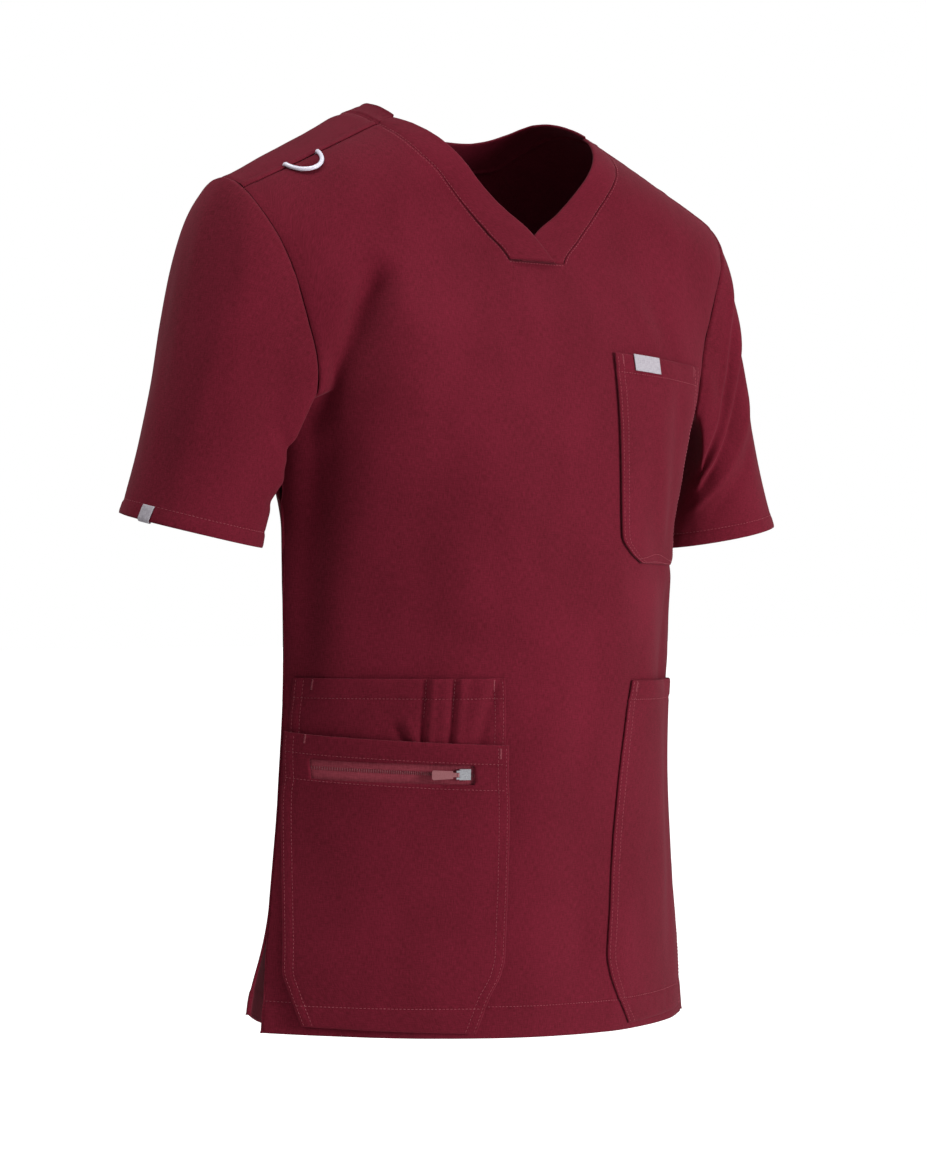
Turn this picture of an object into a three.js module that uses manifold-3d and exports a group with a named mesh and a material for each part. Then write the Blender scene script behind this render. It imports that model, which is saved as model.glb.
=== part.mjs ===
// A short-sleeved V-neck scrub top, filled out as if worn, with nobody in it.
// Millimetres, +Z up. The front faces -Y and the wearer's left is +X.
// The origin is between the high points of the shoulders, where the wearer holds it up.
//
// The cloth's outer face is one surface, form(x, h): x runs across, and h is the length of
// cloth down from the ridge of the shoulders, forward when positive and backward when negative.
import * as THREE from 'three';
import { mergeVertices } from 'three/addons/utils/BufferGeometryUtils.js';
import Module from 'manifold-3d';

const wasm = await Module();
wasm.setup();

// ---------------------------------------------------------------- driving sizes
const CLOTH = 1.2; // one ply with its finish
const HEM_PLY = 2.4; // the turned hem
const SEAM = 0.3; // gap between two pieces at a seam
const ARMPIT_GAP = 1.2; // more where the sleeve turns back down at the armpit
const LAY = 0.9; // a patch's gap to the panel it lies on

const HEM_Z = -735; // centre of the front hem
const HEM_HANG = 9; // the hem is this much lower at the left side seam, and higher at the right
const HANG_TOP = -560; // above here the cloth hangs level
const VENT_Z = -626; // top of the side vents
const ARMPIT_Z = -243;
const NECK_X = 93; // half width of the neck
const SHOULDER_SLOPE = 0.42;
const NAPE_ROUND = 15; // rounds the ridge over the neck opening
const ARCH = 60; // radius of the shoulder from front to back
const TURN = (ARCH * Math.PI) / 2; // cloth from the ridge to where the shoulder hangs plumb
const YOKE_RISE = 24; // the back stands higher than the ridge by this much
const YOKE_H = -48;
const YOKE_REACH = 50;
const YOKE_END = 290; // the rise is gone here, and starts to go this far before
const YOKE_FADE = 170;
const SECTION_POWER = 2.2;
const VENT_OPEN = 3; // the front's vent edge swings forward
const VENT_KICK = { out: 8, back: 6, up: 14 }; // and the back's swings out, back and up
const LEFT_KICK = 0.3; // but less on the left

// The body at heights z: half width, the side seam's y, the front and back at the centre,
// and how round the section is (0.5 is an ellipse, 1 comes to an edge at the side seam).
const BODY = [
  { z: -740, half: 213, side: -8, front: -110, back: 111, round: 0.92 },
  { z: -668, half: 207, side: -7, front: -113, back: 109, round: 0.92 },
  { z: -600, half: 200, side: -6, front: -119, back: 105, round: 0.92 },
  { z: -545, half: 195, side: -6, front: -125, back: 101, round: 0.9 },
  { z: -442, half: 191, side: -8, front: -134, back: 98, round: 0.86 },
  { z: -380, half: 191, side: -7, front: -133, back: 101, round: 0.8 },
  { z: -333, half: 190, side: -6, front: -130, back: 106, round: 0.72 },
  { z: -290, half: 196, side: -6, front: -127, back: 111, round: 0.62 },
  { z: -250, half: 206, side: -5, front: -121, back: 117, round: 0.55 },
  { z: -219, half: 221, side: -3, front: -115, back: 120, round: 0.5 },
  { z: -167, half: 240, side: 0, front: -103, back: 119, round: 0.5 },
  { z: -133, half: 266, side: 0, front: -91, back: 113, round: 0.5 },
  { z: -111, half: 280, side: 0, front: -84, back: 106, round: 0.5 },
  { z: -60, half: 290, side: 0, front: -76, back: 88, round: 0.5 },
  { z: 60, half: 290, side: 0, front: -74, back: 74, round: 0.5 },
];

// The largest folds: from (x, z) to (x2, z2), positive stands proud, on the front or the back.
const FOLDS = [
  { face: 1, x: -150, z: -140, x2: -182, z2: -330, proud: -7, width: 17 },
  { face: 1, x: -118, z: -165, x2: -150, z2: -360, proud: 5, width: 20 },
  { face: 1, x: 186, z: -205, x2: 182, z2: -350, proud: -5, width: 14 },
  { face: 1, x: 112, z: -330, x2: 148, z2: -560, proud: -4, width: 18 },
  { face: -1, x: -150, z: -150, x2: -172, z2: -330, proud: -6, width: 18 },
  { face: -1, x: 148, z: -160, x2: 176, z2: -345, proud: -7, width: 18 },
  { face: -1, x: -52, z: -430, x2: -70, z2: -700, proud: 5, width: 26 },
  { face: -1, x: 64, z: -400, x2: 82, z2: -690, proud: 5, width: 28 },
];

const FOLD_START = 0.25; // the shares of its length over which a fold rises and dies away
const FOLD_END = 0.4;

// Front, above the armpit: the row's inner end on the centre line or the neck seam,
// and its outer end on the armhole seam.
const FRONT_ROWS = [
  { x: 14, z: -243, armX: 208, armZ: -243 },
  { x: 15, z: -212, armX: 192, armZ: -228 },
  { x: 18, z: -180, armX: 194, armZ: -202 },
  { x: 22, z: -148, armX: 200, armZ: -174 },
  { x: 28, z: -117, armX: 208, armZ: -148 },
  { x: 46, z: -97, armX: 215, armZ: -128 },
  { x: 62, z: -80, armX: 222, armZ: -112 },
  { x: 86, z: -52, armX: 229, armZ: -96 },
  { x: 103, z: -31, armX: 234, armZ: -83 },
];
const FRONT_SEAM = [{ x: 114, h: 20, armX: 238, armH: 32 }];
const V_ROW = 4; // the row whose inner end is the bottom of the V

// Back, above the armpit, the same way up to the neck; then over the shoulder by h.
const BACK_ROWS = [
  { x: 14, z: -243, armX: 208, armZ: -243 },
  { x: 15, z: -205, armX: 202, armZ: -222 },
  { x: 16, z: -160, armX: 206, armZ: -190 },
  { x: 17, z: -115, armX: 213, armZ: -155 },
  { x: 18, z: -70, armX: 222, armZ: -122 },
];
const BACK_YOKE = [
  { x: 20, h: -86, armX: 231, armH: -50 },
  { x: 48, h: -83, armX: 235, armH: -34 },
  { x: 76, h: -75, armX: 238, armH: -18 },
  { x: 98, h: -57, armX: 239, armH: -4 },
  { x: 110, h: -28, armX: 240, armH: 8 },
  { x: 113, h: 0, armX: 239, armH: 20 },
  { x: 114, h: 20, armX: 238, armH: 32 },
];
const NAPE_ROW = 5; // the row whose inner end is the back of the neck

// The free edge of the neck bands, row for row with the neck seams above.
const FRONT_BAND_EDGE = [
  { x: -17, z: -117 },
  { x: 6, z: -91 },
  { x: 27, z: -76 },
  { x: 48, z: -57 },
  { x: 72, z: -29 },
];
const BACK_BAND_EDGE = [
  { x: 0, h: -68 },
  { x: 17, h: -67 },
  { x: 40, h: -64 },
  { x: 62, h: -57 },
  { x: 81, h: -43 },
  { x: 91, h: -22 },
  { x: 95, h: 0 },
];
const BAND_END = { x: 97, h: 20 };
const BAND_COLUMNS = 3;
const LAP_LIFT = CLOTH + 1; // the right band lies over the left at the V
const LAP = [1, 1, 0.7, 0.2, 0, 0]; // and settles row by row

const SLEEVE = {
  cuffX: 268, cuffY: 5, cuffZ: -334, // the centre of the cuff
  acrossX: 57, acrossY: 50, // half its width and half its depth
  drop: 11, // the cuff's inner end is this much lower than its centre
  tilt: 8, // the right cuff is this much lower in front than its centre
  leftIn: 4, // the left cuff is this much nearer the body
  flare: 0.25, // the outer side runs out towards the cuff
  headX: 226, headY: 8, headZ: -110, // the middle of the sleeve's head; its cuff is square to this line
  headOut: 0.85, rightFall: 0.55, leftFall: 0.95, // how the cloth leaves the seam at the shoulder
  armpitOut: 0.45, armpitFall: 0.9, // and at the armpit
  frontProud: 0.22, backProud: 0.4, // it also leaves the seam away from the panel
  armpitReach: 0.3, rightReach: 0.14, leftReach: 0.05, cuffReach: 0.35, // how long each end holds
  straight: 1.1, // how much of the cuff's direction is towards the sleeve's head
  rings: 8,
  seamCrowd: 1.05, // the rings end closer together at the seam
};
const ARMPIT_SHARE = 5; // the armpit's wider gap closes within 1/5 of the way up the armhole

// Patch pockets, row by row from the top: the edge nearer the centre and the one nearer the
// side, and how much lower than z the row's outer end is.
const PEN_POCKET = [
  { z: -449, inner: 62, outer: 187, drop: 0 },
  { z: -466, inner: 61, outer: 188, drop: 0 },
  { z: -484, inner: 60, outer: 189, drop: 0 },
  { z: -520, inner: 59, outer: 190, drop: 0 },
  { z: -590, inner: 58, outer: 194, drop: 0 },
  { z: -665, inner: 57, outer: 197, drop: 0 },
  { z: -682, inner: 60, outer: 198, drop: 0 },
  { z: -700, inner: 68, outer: 195, drop: 0 },
  { z: -728, inner: 78, outer: 189, drop: -2 },
];
const ZIP_POCKET = [
  { z: -501, inner: 58, outer: 190, drop: -10 },
  { z: -517, inner: 57, outer: 191, drop: -6 },
  { z: -532, inner: 56, outer: 191, drop: -6 },
  { z: -542, inner: 55, outer: 192, drop: -6 },
  { z: -580, inner: 53, outer: 194, drop: -3 },
  { z: -625, inner: 52, outer: 196, drop: 0 },
  { z: -665, inner: 52, outer: 198, drop: 0 },
  { z: -682, inner: 55, outer: 199, drop: 0 },
  { z: -700, inner: 64, outer: 196, drop: 0 },
  { z: -730, inner: 75, outer: 190, drop: -3 },
];
const ZIP_WINDOW = { row: 1, inner: 83, outer: 179 }; // the opening below this row of the pocket
const HIP_POCKET = [
  { z: -453, inner: 65, outer: 187, drop: 3 },
  { z: -472, inner: 61, outer: 188, drop: 3 },
  { z: -520, inner: 57, outer: 190, drop: 0 },
  { z: -580, inner: 55, outer: 194, drop: 0 },
  { z: -630, inner: 55, outer: 196, drop: 0 },
  { z: -672, inner: 53, outer: 198, drop: 0 },
  { z: -686, inner: 56, outer: 199, drop: 0 },
  { z: -703, inner: 64, outer: 196, drop: 0 },
  { z: -730, inner: 82, outer: 190, drop: -3 },
];
const CHEST_POCKET = [
  { z: -189, inner: 61, outer: 178, drop: 5 },
  { z: -207, inner: 60, outer: 177, drop: 5 },
  { z: -250, inner: 57, outer: 174, drop: 4 },
  { z: -295, inner: 53, outer: 170, drop: 3 },
  { z: -336, inner: 52, outer: 166, drop: 2 },
  { z: -350, inner: 62, outer: 157, drop: 2 },
  { z: -359, inner: 78, outer: 142, drop: 1 },
];
const ZIP_TAPE = [
  { z: -512, inner: 78, outer: 184, drop: -6 },
  { z: -537, inner: 78, outer: 184, drop: -6 },
];
const LABEL = [
  { z: -189.5, inner: 81, outer: 113, drop: 1.4 },
  { z: -203, inner: 81, outer: 113, drop: 1.4 },
];
const PATCH_COLUMNS = 10;
const TAPE_PLY = 0.8;
const LABEL_PLY = 0.6;
const PEN_LIFT = LAY;
const TAPE_LIFT = PEN_LIFT + CLOTH + LAY;
const ZIP_LIFT = TAPE_LIFT + TAPE_PLY + LAY;

const SLIDER = {
  x: 89, z: -523, length: 9, width: 8.5, height: 2.4,
  lug: 1.5, lugRise: 1.8, lugInto: 1, lugPast: 1.2, // the two lugs that hold the pull
};
const PIVOT = { past: 1.4, above: 0.9 }; // the pull's pin past the slider's end and above its top
const PULL = {
  length: 17, width: 7.5, thick: 1.6,
  neck: 3.2, neckLength: 3.4, knuckle: 1.2, // the tongue between the lugs and its barrel
  corner: 1.6, taper: 0.8, taperLength: 0.6,
};
const RING = {
  x: 186, h: 31, width: 31, depth: 24, wire: 3.4, gap: 0.4,
  tuck: 3, corner: 2.5, arcSteps: 14, sides: 8, // the bar lies past the seam by tuck
};
const TAG = { angle: 22, width: 11, height: 12, gap: 1.4, ply: 0.6, lean: 0.4 };
const BARREL_SIDES = 16;
const CORNER_SIDES = 4;

const BURGUNDY = 0x641c29;

// ---------------------------------------------------------------- small tools
const V = (x, y, z) => new THREE.Vector3(x, y, z);
const clamp = (v, low, high) => Math.min(Math.max(v, low), high);
const mix = (a, b, t) => a + (b - a) * t;
const smooth = (t) => {
  const s = clamp(t, 0, 1);
  return s * s * (3 - 2 * s);
};

// A smooth curve through a table's column that never overshoots its rows (monotone cubic).
function column(rows, key, name) {
  const xs = rows.map((row) => row[key]);
  const ys = rows.map((row) => row[name]);
  const steps = xs.slice(1).map((x, i) => x - xs[i]);
  const slopes = steps.map((step, i) => (ys[i + 1] - ys[i]) / step);
  const tangents = xs.map((_, i) => {
    if (i === 0) return slopes[0];
    if (i === xs.length - 1) return slopes[i - 1];
    const [before, after] = [slopes[i - 1], slopes[i]];
    if (before * after <= 0) return 0;
    const w1 = 2 * steps[i] + steps[i - 1];
    const w2 = steps[i] + 2 * steps[i - 1];
    return (w1 + w2) / (w1 / before + w2 / after);
  });
  return (x) => {
    let i = 0;
    while (i < steps.length - 1 && x > xs[i + 1]) i += 1;
    const t = clamp((x - xs[i]) / steps[i], 0, 1);
    const s = 1 - t;
    return (1 + 2 * t) * s * s * ys[i] + t * s * s * steps[i] * tangents[i]
      + t * t * (3 - 2 * t) * ys[i + 1] - t * t * s * steps[i] * tangents[i + 1];
  };
}

// ---------------------------------------------------------------- the cloth's form
const body = {};
for (const name of ['half', 'side', 'front', 'back', 'round']) body[name] = column(BODY, 'z', name);

const ridge = (x) => -SHOULDER_SLOPE * (Math.hypot(x, NAPE_ROUND) - NECK_X);

function heightAt(x, h) {
  const turned = Math.min(Math.abs(h), TURN);
  return ridge(x) - ARCH * (1 - Math.cos(turned / ARCH)) - (Math.abs(h) - turned);
}

// The length h at which the cloth over x comes down to height z, on the front (1) or back (-1).
function lengthAt(x, z, face) {
  const drop = ridge(x) - z;
  if (drop >= ARCH) return face * (TURN + drop - ARCH);
  return face * ARCH * Math.acos(clamp(1 - drop / ARCH, -1, 1));
}

function foldsAt(x, z, face) {
  let sum = 0;
  for (const fold of FOLDS.filter((row) => row.face === face)) {
    const run = new THREE.Vector2(fold.x2 - fold.x, fold.z2 - fold.z);
    const at = new THREE.Vector2(x - fold.x, z - fold.z);
    const along = at.dot(run) / run.lengthSq();
    const aside = at.cross(run) / run.length() / fold.width;
    const fade = smooth(along / FOLD_START + 0.5) * smooth((1 - along) / FOLD_END + 0.5);
    sum += fold.proud * Math.exp(-aside * aside) * fade;
  }
  return sum;
}

// How far the cloth hangs below its level at the side seams, towards the hem.
function hang(x, z) {
  return HEM_HANG * (x / body.half(HEM_Z)) * clamp((HANG_TOP - z) / (HANG_TOP - HEM_Z), 0, 1) ** 2;
}

function form(x, h) {
  const z = heightAt(x, h);
  const face = h >= 0 ? 1 : -1;
  const out = Math.min(Math.abs(x) / body.half(z), 1);
  const swell = (1 - out ** SECTION_POWER) ** body.round(z);
  const lean = Math.sin(Math.min(Math.abs(h), TURN) / ARCH);
  const side = body.side(z);
  const depth = (face > 0 ? body.front(z) : body.back(z)) - side - face * foldsAt(x, z, face);
  const across = clamp(Math.abs(x) / NECK_X, 0, 1) * clamp((YOKE_END - Math.abs(x)) / YOKE_FADE, 0, 1);
  const yoke = YOKE_RISE * across * Math.exp(-(((h - YOKE_H) / YOKE_REACH) ** 2));
  return V(x, side + depth * swell * lean, z + yoke - hang(x, z));
}

const NORMAL_STEP = 2;

function formNormal(x, h) {
  const across = form(x + NORMAL_STEP, h).sub(form(x - NORMAL_STEP, h));
  return across.cross(form(x, h - NORMAL_STEP).sub(form(x, h + NORMAL_STEP))).normalize();
}

// ---------------------------------------------------------------- walls
// The unit normal at each point of a grid, across its row and then up to the next.
function normals(grid) {
  return grid.map((row, i) => row.map((_, j) => {
    const up = grid[Math.min(i + 1, grid.length - 1)][j].clone().sub(grid[Math.max(i - 1, 0)][j]);
    const across = row[Math.min(j + 1, row.length - 1)].clone().sub(row[Math.max(j - 1, 0)]);
    return across.cross(up).normalize();
  }));
}

const offset = (grid, away, by) => grid.map((row, i) => row.map((p, j) => {
  const distance = typeof by === 'function' ? by(i, j) : by;
  return p.clone().addScaledVector(away[i][j], distance);
}));

// A closed wall between two grids. Cells that keep() refuses are left open, with their own rims.
function wall(outer, inner, { keep = () => true, loop = false } = {}) {
  const rows = outer.length;
  const columns = outer[0].length;
  const cellColumns = loop ? columns : columns - 1;
  const vertices = [];
  for (const p of [...outer, ...inner].flat()) vertices.push(p.x, p.y, p.z);
  const at = (layer, i, j) => layer * rows * columns + i * columns + (j % columns);
  const has = (i, j) => {
    if (i < 0 || i >= rows - 1) return false;
    if (!loop && (j < 0 || j >= cellColumns)) return false;
    return keep(i, (j + cellColumns) % cellColumns);
  };
  const index = [];
  const quad = (a, b, c, d) => index.push(a, b, c, a, c, d);
  for (let i = 0; i < rows - 1; i += 1) {
    for (let j = 0; j < cellColumns; j += 1) {
      if (!has(i, j)) continue;
      quad(at(0, i, j), at(0, i, j + 1), at(0, i + 1, j + 1), at(0, i + 1, j));
      quad(at(1, i, j), at(1, i + 1, j), at(1, i + 1, j + 1), at(1, i, j + 1));
      if (!has(i - 1, j)) quad(at(0, i, j), at(1, i, j), at(1, i, j + 1), at(0, i, j + 1));
      if (!has(i + 1, j)) quad(at(0, i + 1, j + 1), at(1, i + 1, j + 1), at(1, i + 1, j), at(0, i + 1, j));
      if (!has(i, j - 1)) quad(at(0, i + 1, j), at(1, i + 1, j), at(1, i, j), at(0, i, j));
      if (!has(i, j + 1)) quad(at(0, i, j + 1), at(1, i, j + 1), at(1, i + 1, j + 1), at(0, i + 1, j + 1));
    }
  }
  const geometry = new THREE.BufferGeometry();
  geometry.setAttribute('position', new THREE.Float32BufferAttribute(vertices, 3));
  geometry.setIndex(index);
  geometry.computeVertexNormals();
  return geometry;
}

// A closed tube along a closed loop of points, with its section square to the loop's plane.
function ringTube(path, planeNormal, radius, sides) {
  const vertices = [];
  path.forEach((p, i) => {
    const ahead = path[(i + 1) % path.length];
    const behind = path[(i + path.length - 1) % path.length];
    const aside = ahead.clone().sub(behind).cross(planeNormal).normalize();
    for (let k = 0; k < sides; k += 1) {
      const turn = (k / sides) * 2 * Math.PI;
      const q = p.clone().addScaledVector(aside, radius * Math.cos(turn));
      q.addScaledVector(planeNormal, radius * Math.sin(turn));
      vertices.push(q.x, q.y, q.z);
    }
  });
  const at = (i, k) => (i % path.length) * sides + (k % sides);
  const index = [];
  for (let i = 0; i < path.length; i += 1) {
    for (let k = 0; k < sides; k += 1) {
      index.push(at(i, k), at(i + 1, k), at(i + 1, k + 1), at(i, k), at(i + 1, k + 1), at(i, k + 1));
    }
  }
  const geometry = new THREE.BufferGeometry();
  geometry.setAttribute('position', new THREE.Float32BufferAttribute(vertices, 3));
  geometry.setIndex(index);
  geometry.computeVertexNormals();
  return geometry;
}

function asSolid(geometry) {
  const bare = geometry.clone();
  bare.deleteAttribute('normal');
  bare.deleteAttribute('uv');
  const merged = mergeVertices(bare, 1e-4);
  return new wasm.Manifold(new wasm.Mesh({
    numProp: 3,
    vertProperties: merged.attributes.position.array,
    triVerts: Uint32Array.from(merged.index.array),
  }));
}

function join(...geometries) {
  const mesh = geometries.map(asSolid).reduce((a, b) => a.add(b)).getMesh();
  const geometry = new THREE.BufferGeometry();
  geometry.setAttribute('position', new THREE.Float32BufferAttribute(mesh.vertProperties, 3));
  geometry.setIndex([...mesh.triVerts]);
  geometry.computeVertexNormals();
  return geometry;
}

const scrubTop = new THREE.Group();
function add(name, geometry, { color = BURGUNDY, roughness = 0.9, metalness = 0 } = {}) {
  const mesh = new THREE.Mesh(geometry, new THREE.MeshStandardMaterial({ color, roughness, metalness }));
  mesh.name = name;
  scrubTop.add(mesh);
  return mesh;
}

// ---------------------------------------------------------------- front and back panels
const BODY_ROWS = [-735, -710, -681, -653, -626, -590, -550, -510, -470, -430, -390, -350, -310, -275];
const CENTRE_X = 14; // the columns beside the centre one
const HALF_COLUMNS = 13;
const MIDDLE = HALF_COLUMNS;
const LAST = 2 * HALF_COLUMNS;

// One row, mirrored about a middle point on the centre line.
function panelRow(start, end, face, round) {
  const row = [];
  for (let j = -HALF_COLUMNS; j <= HALF_COLUMNS; j += 1) {
    const t = (Math.abs(j) - 1) / (HALF_COLUMNS - 1);
    const spread = j === 0 ? 0 : mix(t, Math.sin((t * Math.PI) / 2), round);
    const x = j === 0 ? 0 : mix(start.x, end.x, spread);
    const level = mix(start.h - ridge(start.x), end.h - ridge(end.x), spread);
    const [acrossX, h] = [Math.sign(j) * x, face * (ridge(x) + level)];
    row.push(Object.assign(form(acrossX, h), { normal: formNormal(acrossX, h) }));
  }
  return row;
}

function panelRows(face, upper, shoulder) {
  const rows = BODY_ROWS.map((z) => {
    const end = { x: body.half(z), h: lengthAt(body.half(z), z, 1) };
    return panelRow({ x: CENTRE_X, h: lengthAt(CENTRE_X, z, 1) }, end, face, 1);
  });
  for (const row of upper) {
    const armX = row.armZ === ARMPIT_Z ? body.half(ARMPIT_Z) : row.armX;
    const start = { x: row.x, h: lengthAt(row.x, row.z, 1) };
    const end = { x: armX, h: lengthAt(armX, row.armZ, 1) };
    rows.push(panelRow(start, end, face, smooth((-100 - row.armZ) / 140)));
  }
  for (const row of shoulder) {
    rows.push(panelRow({ x: row.x, h: face * row.h }, { x: row.armX, h: face * row.armH }, face, 0));
  }
  return rows;
}

// Below the vent's top the front's side edge swings forward, and the back's out and back.
function swing(p, x, z, face) {
  const open = smooth((VENT_Z - z) / (VENT_Z - HEM_Z));
  const side = Math.asin(Math.min(Math.abs(x) / body.half(z), 1)) / (Math.PI / 2);
  const near = smooth((side - 0.6) / 0.4) * open;
  if (face > 0) p.y -= VENT_OPEN * near;
  else {
    const kick = V(Math.sign(x) * VENT_KICK.out, VENT_KICK.back, VENT_KICK.up * open);
    p.addScaledVector(kick, near * (x > 0 ? LEFT_KICK : 1));
  }
  return p;
}

// The top row lies half a seam short of the shoulder seam, square to the form.
function endAtShoulder(grid, away, face) {
  const top = grid.length - 1;
  const seam = FRONT_SEAM[0];
  grid[top].forEach((p, j) => {
    const t = (Math.abs(j - MIDDLE) - 1) / (HALF_COLUMNS - 1);
    const x = Math.sign(j - MIDDLE) * mix(seam.x, seam.armX, t);
    const h = mix(seam.h, seam.armH, t);
    p.copy(form(x, h + (face * SEAM) / 2));
    away[top][j].copy(formNormal(x, h));
  });
}

function panel(face, upper, shoulder, neckRow) {
  const grid = panelRows(face, upper, shoulder);
  const sides = BODY_ROWS.length + 1; // the rows that end on the side seam
  for (const row of grid.slice(0, sides)) {
    for (const p of row) swing(p, p.x, p.z, face);
    row[0].y -= (face * SEAM) / 2;
    row[LAST].y -= (face * SEAM) / 2;
  }
  const away = normals(grid);
  if (face < 0) for (const row of away) for (const n of row) n.negate();
  grid.forEach((row, i) => {
    if (i >= sides) row.forEach((p, j) => away[i][j].copy(p.normal));
    else away[i][0].set(-1, 0, 0);
    if (i < sides) away[i][LAST].set(1, 0, 0);
  });
  endAtShoulder(grid, away, face);
  const inner = offset(grid, away, (i) => -(i < 2 ? HEM_PLY : CLOTH));
  const neck = BODY_ROWS.length + neckRow;
  const keep = (i, j) => i < neck || (j !== MIDDLE - 1 && j !== MIDDLE);
  const geometry = face > 0 ? wall(grid, inner, { keep }) : wall(inner, grid, { keep });
  return { grid, away, neck, geometry };
}

const front = panel(1, FRONT_ROWS, FRONT_SEAM, V_ROW);
const back = panel(-1, BACK_ROWS, BACK_YOKE, NAPE_ROW);
add('front_panel', front.geometry);
add('back_panel', back.geometry);

// ---------------------------------------------------------------- sleeves
// The armhole from the armpit up the front, over the shoulder and down the back.
function armhole(sign) {
  const j = sign > 0 ? LAST : 0;
  const armpit = BODY_ROWS.length;
  const edge = ({ grid, away }, i) => ({ p: grid[i][j].clone(), n: away[i][j].clone() });
  const between = (i, k) => {
    const [a, b] = [edge(front, i), edge(back, k)];
    return { p: a.p.add(b.p).multiplyScalar(0.5), n: a.n.add(b.n).normalize() };
  };
  const chain = [between(armpit, armpit)];
  for (let i = armpit + 1; i < front.grid.length - 1; i += 1) chain.push(edge(front, i));
  chain.push(between(front.grid.length - 1, back.grid.length - 1));
  for (let i = back.grid.length - 2; i > armpit; i -= 1) chain.push(edge(back, i));
  let run = 0;
  chain.forEach((at, k) => {
    const next = chain[(k + 1) % chain.length].p;
    const before = chain[(k + chain.length - 1) % chain.length].p;
    at.out = next.clone().sub(before).cross(at.n).multiplyScalar(sign).normalize();
    at.run = run;
    run += at.p.distanceTo(next);
  });
  for (const at of chain) at.turn = (at.run / run) * 2 * Math.PI;
  return chain;
}

function cuffTilt(sign) {
  return sign < 0 ? SLEEVE.tilt : 0;
}

function cuffPoint(sign, turn, down = 0) {
  const { cuffX, cuffY, cuffZ, acrossX, acrossY, drop } = SLEEVE;
  const centre = sign < 0 ? cuffX : cuffX - SLEEVE.leftIn;
  const x = sign * (centre - acrossX * Math.cos(turn));
  const fall = drop * Math.cos(turn) + cuffTilt(sign) * Math.sin(turn);
  return V(x, cuffY - acrossY * Math.sin(turn), cuffZ - fall - down);
}

function sleeve(sign) {
  const chain = armhole(sign);
  const grid = [];
  const head = V(sign * SLEEVE.headX, SLEEVE.headY, SLEEVE.headZ);
  const axis = head.sub(V(sign * SLEEVE.cuffX, SLEEVE.cuffY, SLEEVE.cuffZ)).normalize();
  const curves = chain.map(({ p, n, out, turn }) => {
    const high = (1 - Math.cos(turn)) / 2;
    const start = p.clone().addScaledVector(out, mix(ARMPIT_GAP, SEAM, Math.min(1, ARMPIT_SHARE * high)));
    const end = cuffPoint(sign, turn);
    const sideways = sign * mix(SLEEVE.armpitOut, SLEEVE.headOut, high);
    const headFall = sign < 0 ? SLEEVE.rightFall : SLEEVE.leftFall;
    const leave = V(sideways, 0, -mix(SLEEVE.armpitFall, headFall, high));
    const proud = mix(SLEEVE.frontProud, SLEEVE.backProud, clamp(0.5 - Math.sin(turn), 0, 1));
    leave.addScaledVector(n, proud).normalize();
    const reach = start.distanceTo(end);
    const headReach = sign < 0 ? SLEEVE.rightReach : SLEEVE.leftReach;
    const held = mix(SLEEVE.armpitReach, headReach, high);
    const first = start.clone().addScaledVector(leave, held * reach);
    const back = first.clone().sub(end).normalize();
    const arrive = axis.clone().lerp(back, SLEEVE.straight * high);
    arrive.x -= sign * SLEEVE.flare * high;
    arrive.normalize();
    const last = end.clone().addScaledVector(arrive, SLEEVE.cuffReach * reach);
    return new THREE.CubicBezierCurve3(start, first, last, end);
  });
  for (let i = 0; i <= SLEEVE.rings; i += 1) {
    const t = i === SLEEVE.rings ? 1 : (i / SLEEVE.rings) * SLEEVE.seamCrowd;
    grid.push(curves.map((curve) => curve.getPoint(t)));
  }
  grid.reverse();
  const away = loopNormals(grid, sign);
  chain.forEach(({ out }, j) => {
    const n = away[grid.length - 1][j];
    n.addScaledVector(out, -Math.max(0, n.dot(out))).normalize();
  });
  const inner = offset(grid, away, (i) => -(i < 2 ? HEM_PLY : CLOTH));
  return sign > 0 ? wall(grid, inner, { loop: true }) : wall(inner, grid, { loop: true });
}

function loopNormals(grid, sign) {
  return grid.map((row, i) => row.map((_, j) => {
    const up = grid[Math.min(i + 1, grid.length - 1)][j].clone().sub(grid[Math.max(i - 1, 0)][j]);
    const across = row[(j + 1) % row.length].clone().sub(row[(j + row.length - 1) % row.length]);
    return across.cross(up).multiplyScalar(sign).normalize();
  }));
}

add('sleeve_right', sleeve(-1));
add('sleeve_left', sleeve(1));

// ---------------------------------------------------------------- neck bands
// A band's rows run from the neck seam to its free edge. It leaves the seam square to the panel.
// On the front they keep level where they cross the centre, as the panel's rows do.
function bandWall(rows, face, lift, flip) {
  const level = (x) => (face > 0 ? ridge(x) : 0);
  const grid = rows.map(({ seam, from, to, shift = 0, up = 0 }) => {
    const row = [];
    for (let k = 0; k <= BAND_COLUMNS; k += 1) {
      const t = k / BAND_COLUMNS;
      const x = mix(from.x, to.x, t);
      const h = level(x) + mix(from.h - level(from.x), to.h - level(to.x), t);
      row.push(form(x, h + shift).add(V(0, 0, up)));
    }
    const toward = row[1].clone().sub(seam.p).normalize();
    row[0].copy(seam.p).addScaledVector(toward, SEAM).add(V(0, 0, up));
    return row;
  });
  const away = normals(grid);
  if (flip) for (const row of away) for (const n of row) n.negate();
  rows.forEach(({ seam }, i) => away[i][0].copy(seam.n));
  const outer = offset(grid, away, (i) => lift(i));
  const inner = offset(grid, away, (i) => lift(i) - CLOTH);
  return flip ? wall(inner, outer) : wall(outer, inner);
}

const seamAt = ({ grid, away }, i, j) => ({ p: grid[i][j], n: away[i][j] });

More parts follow.
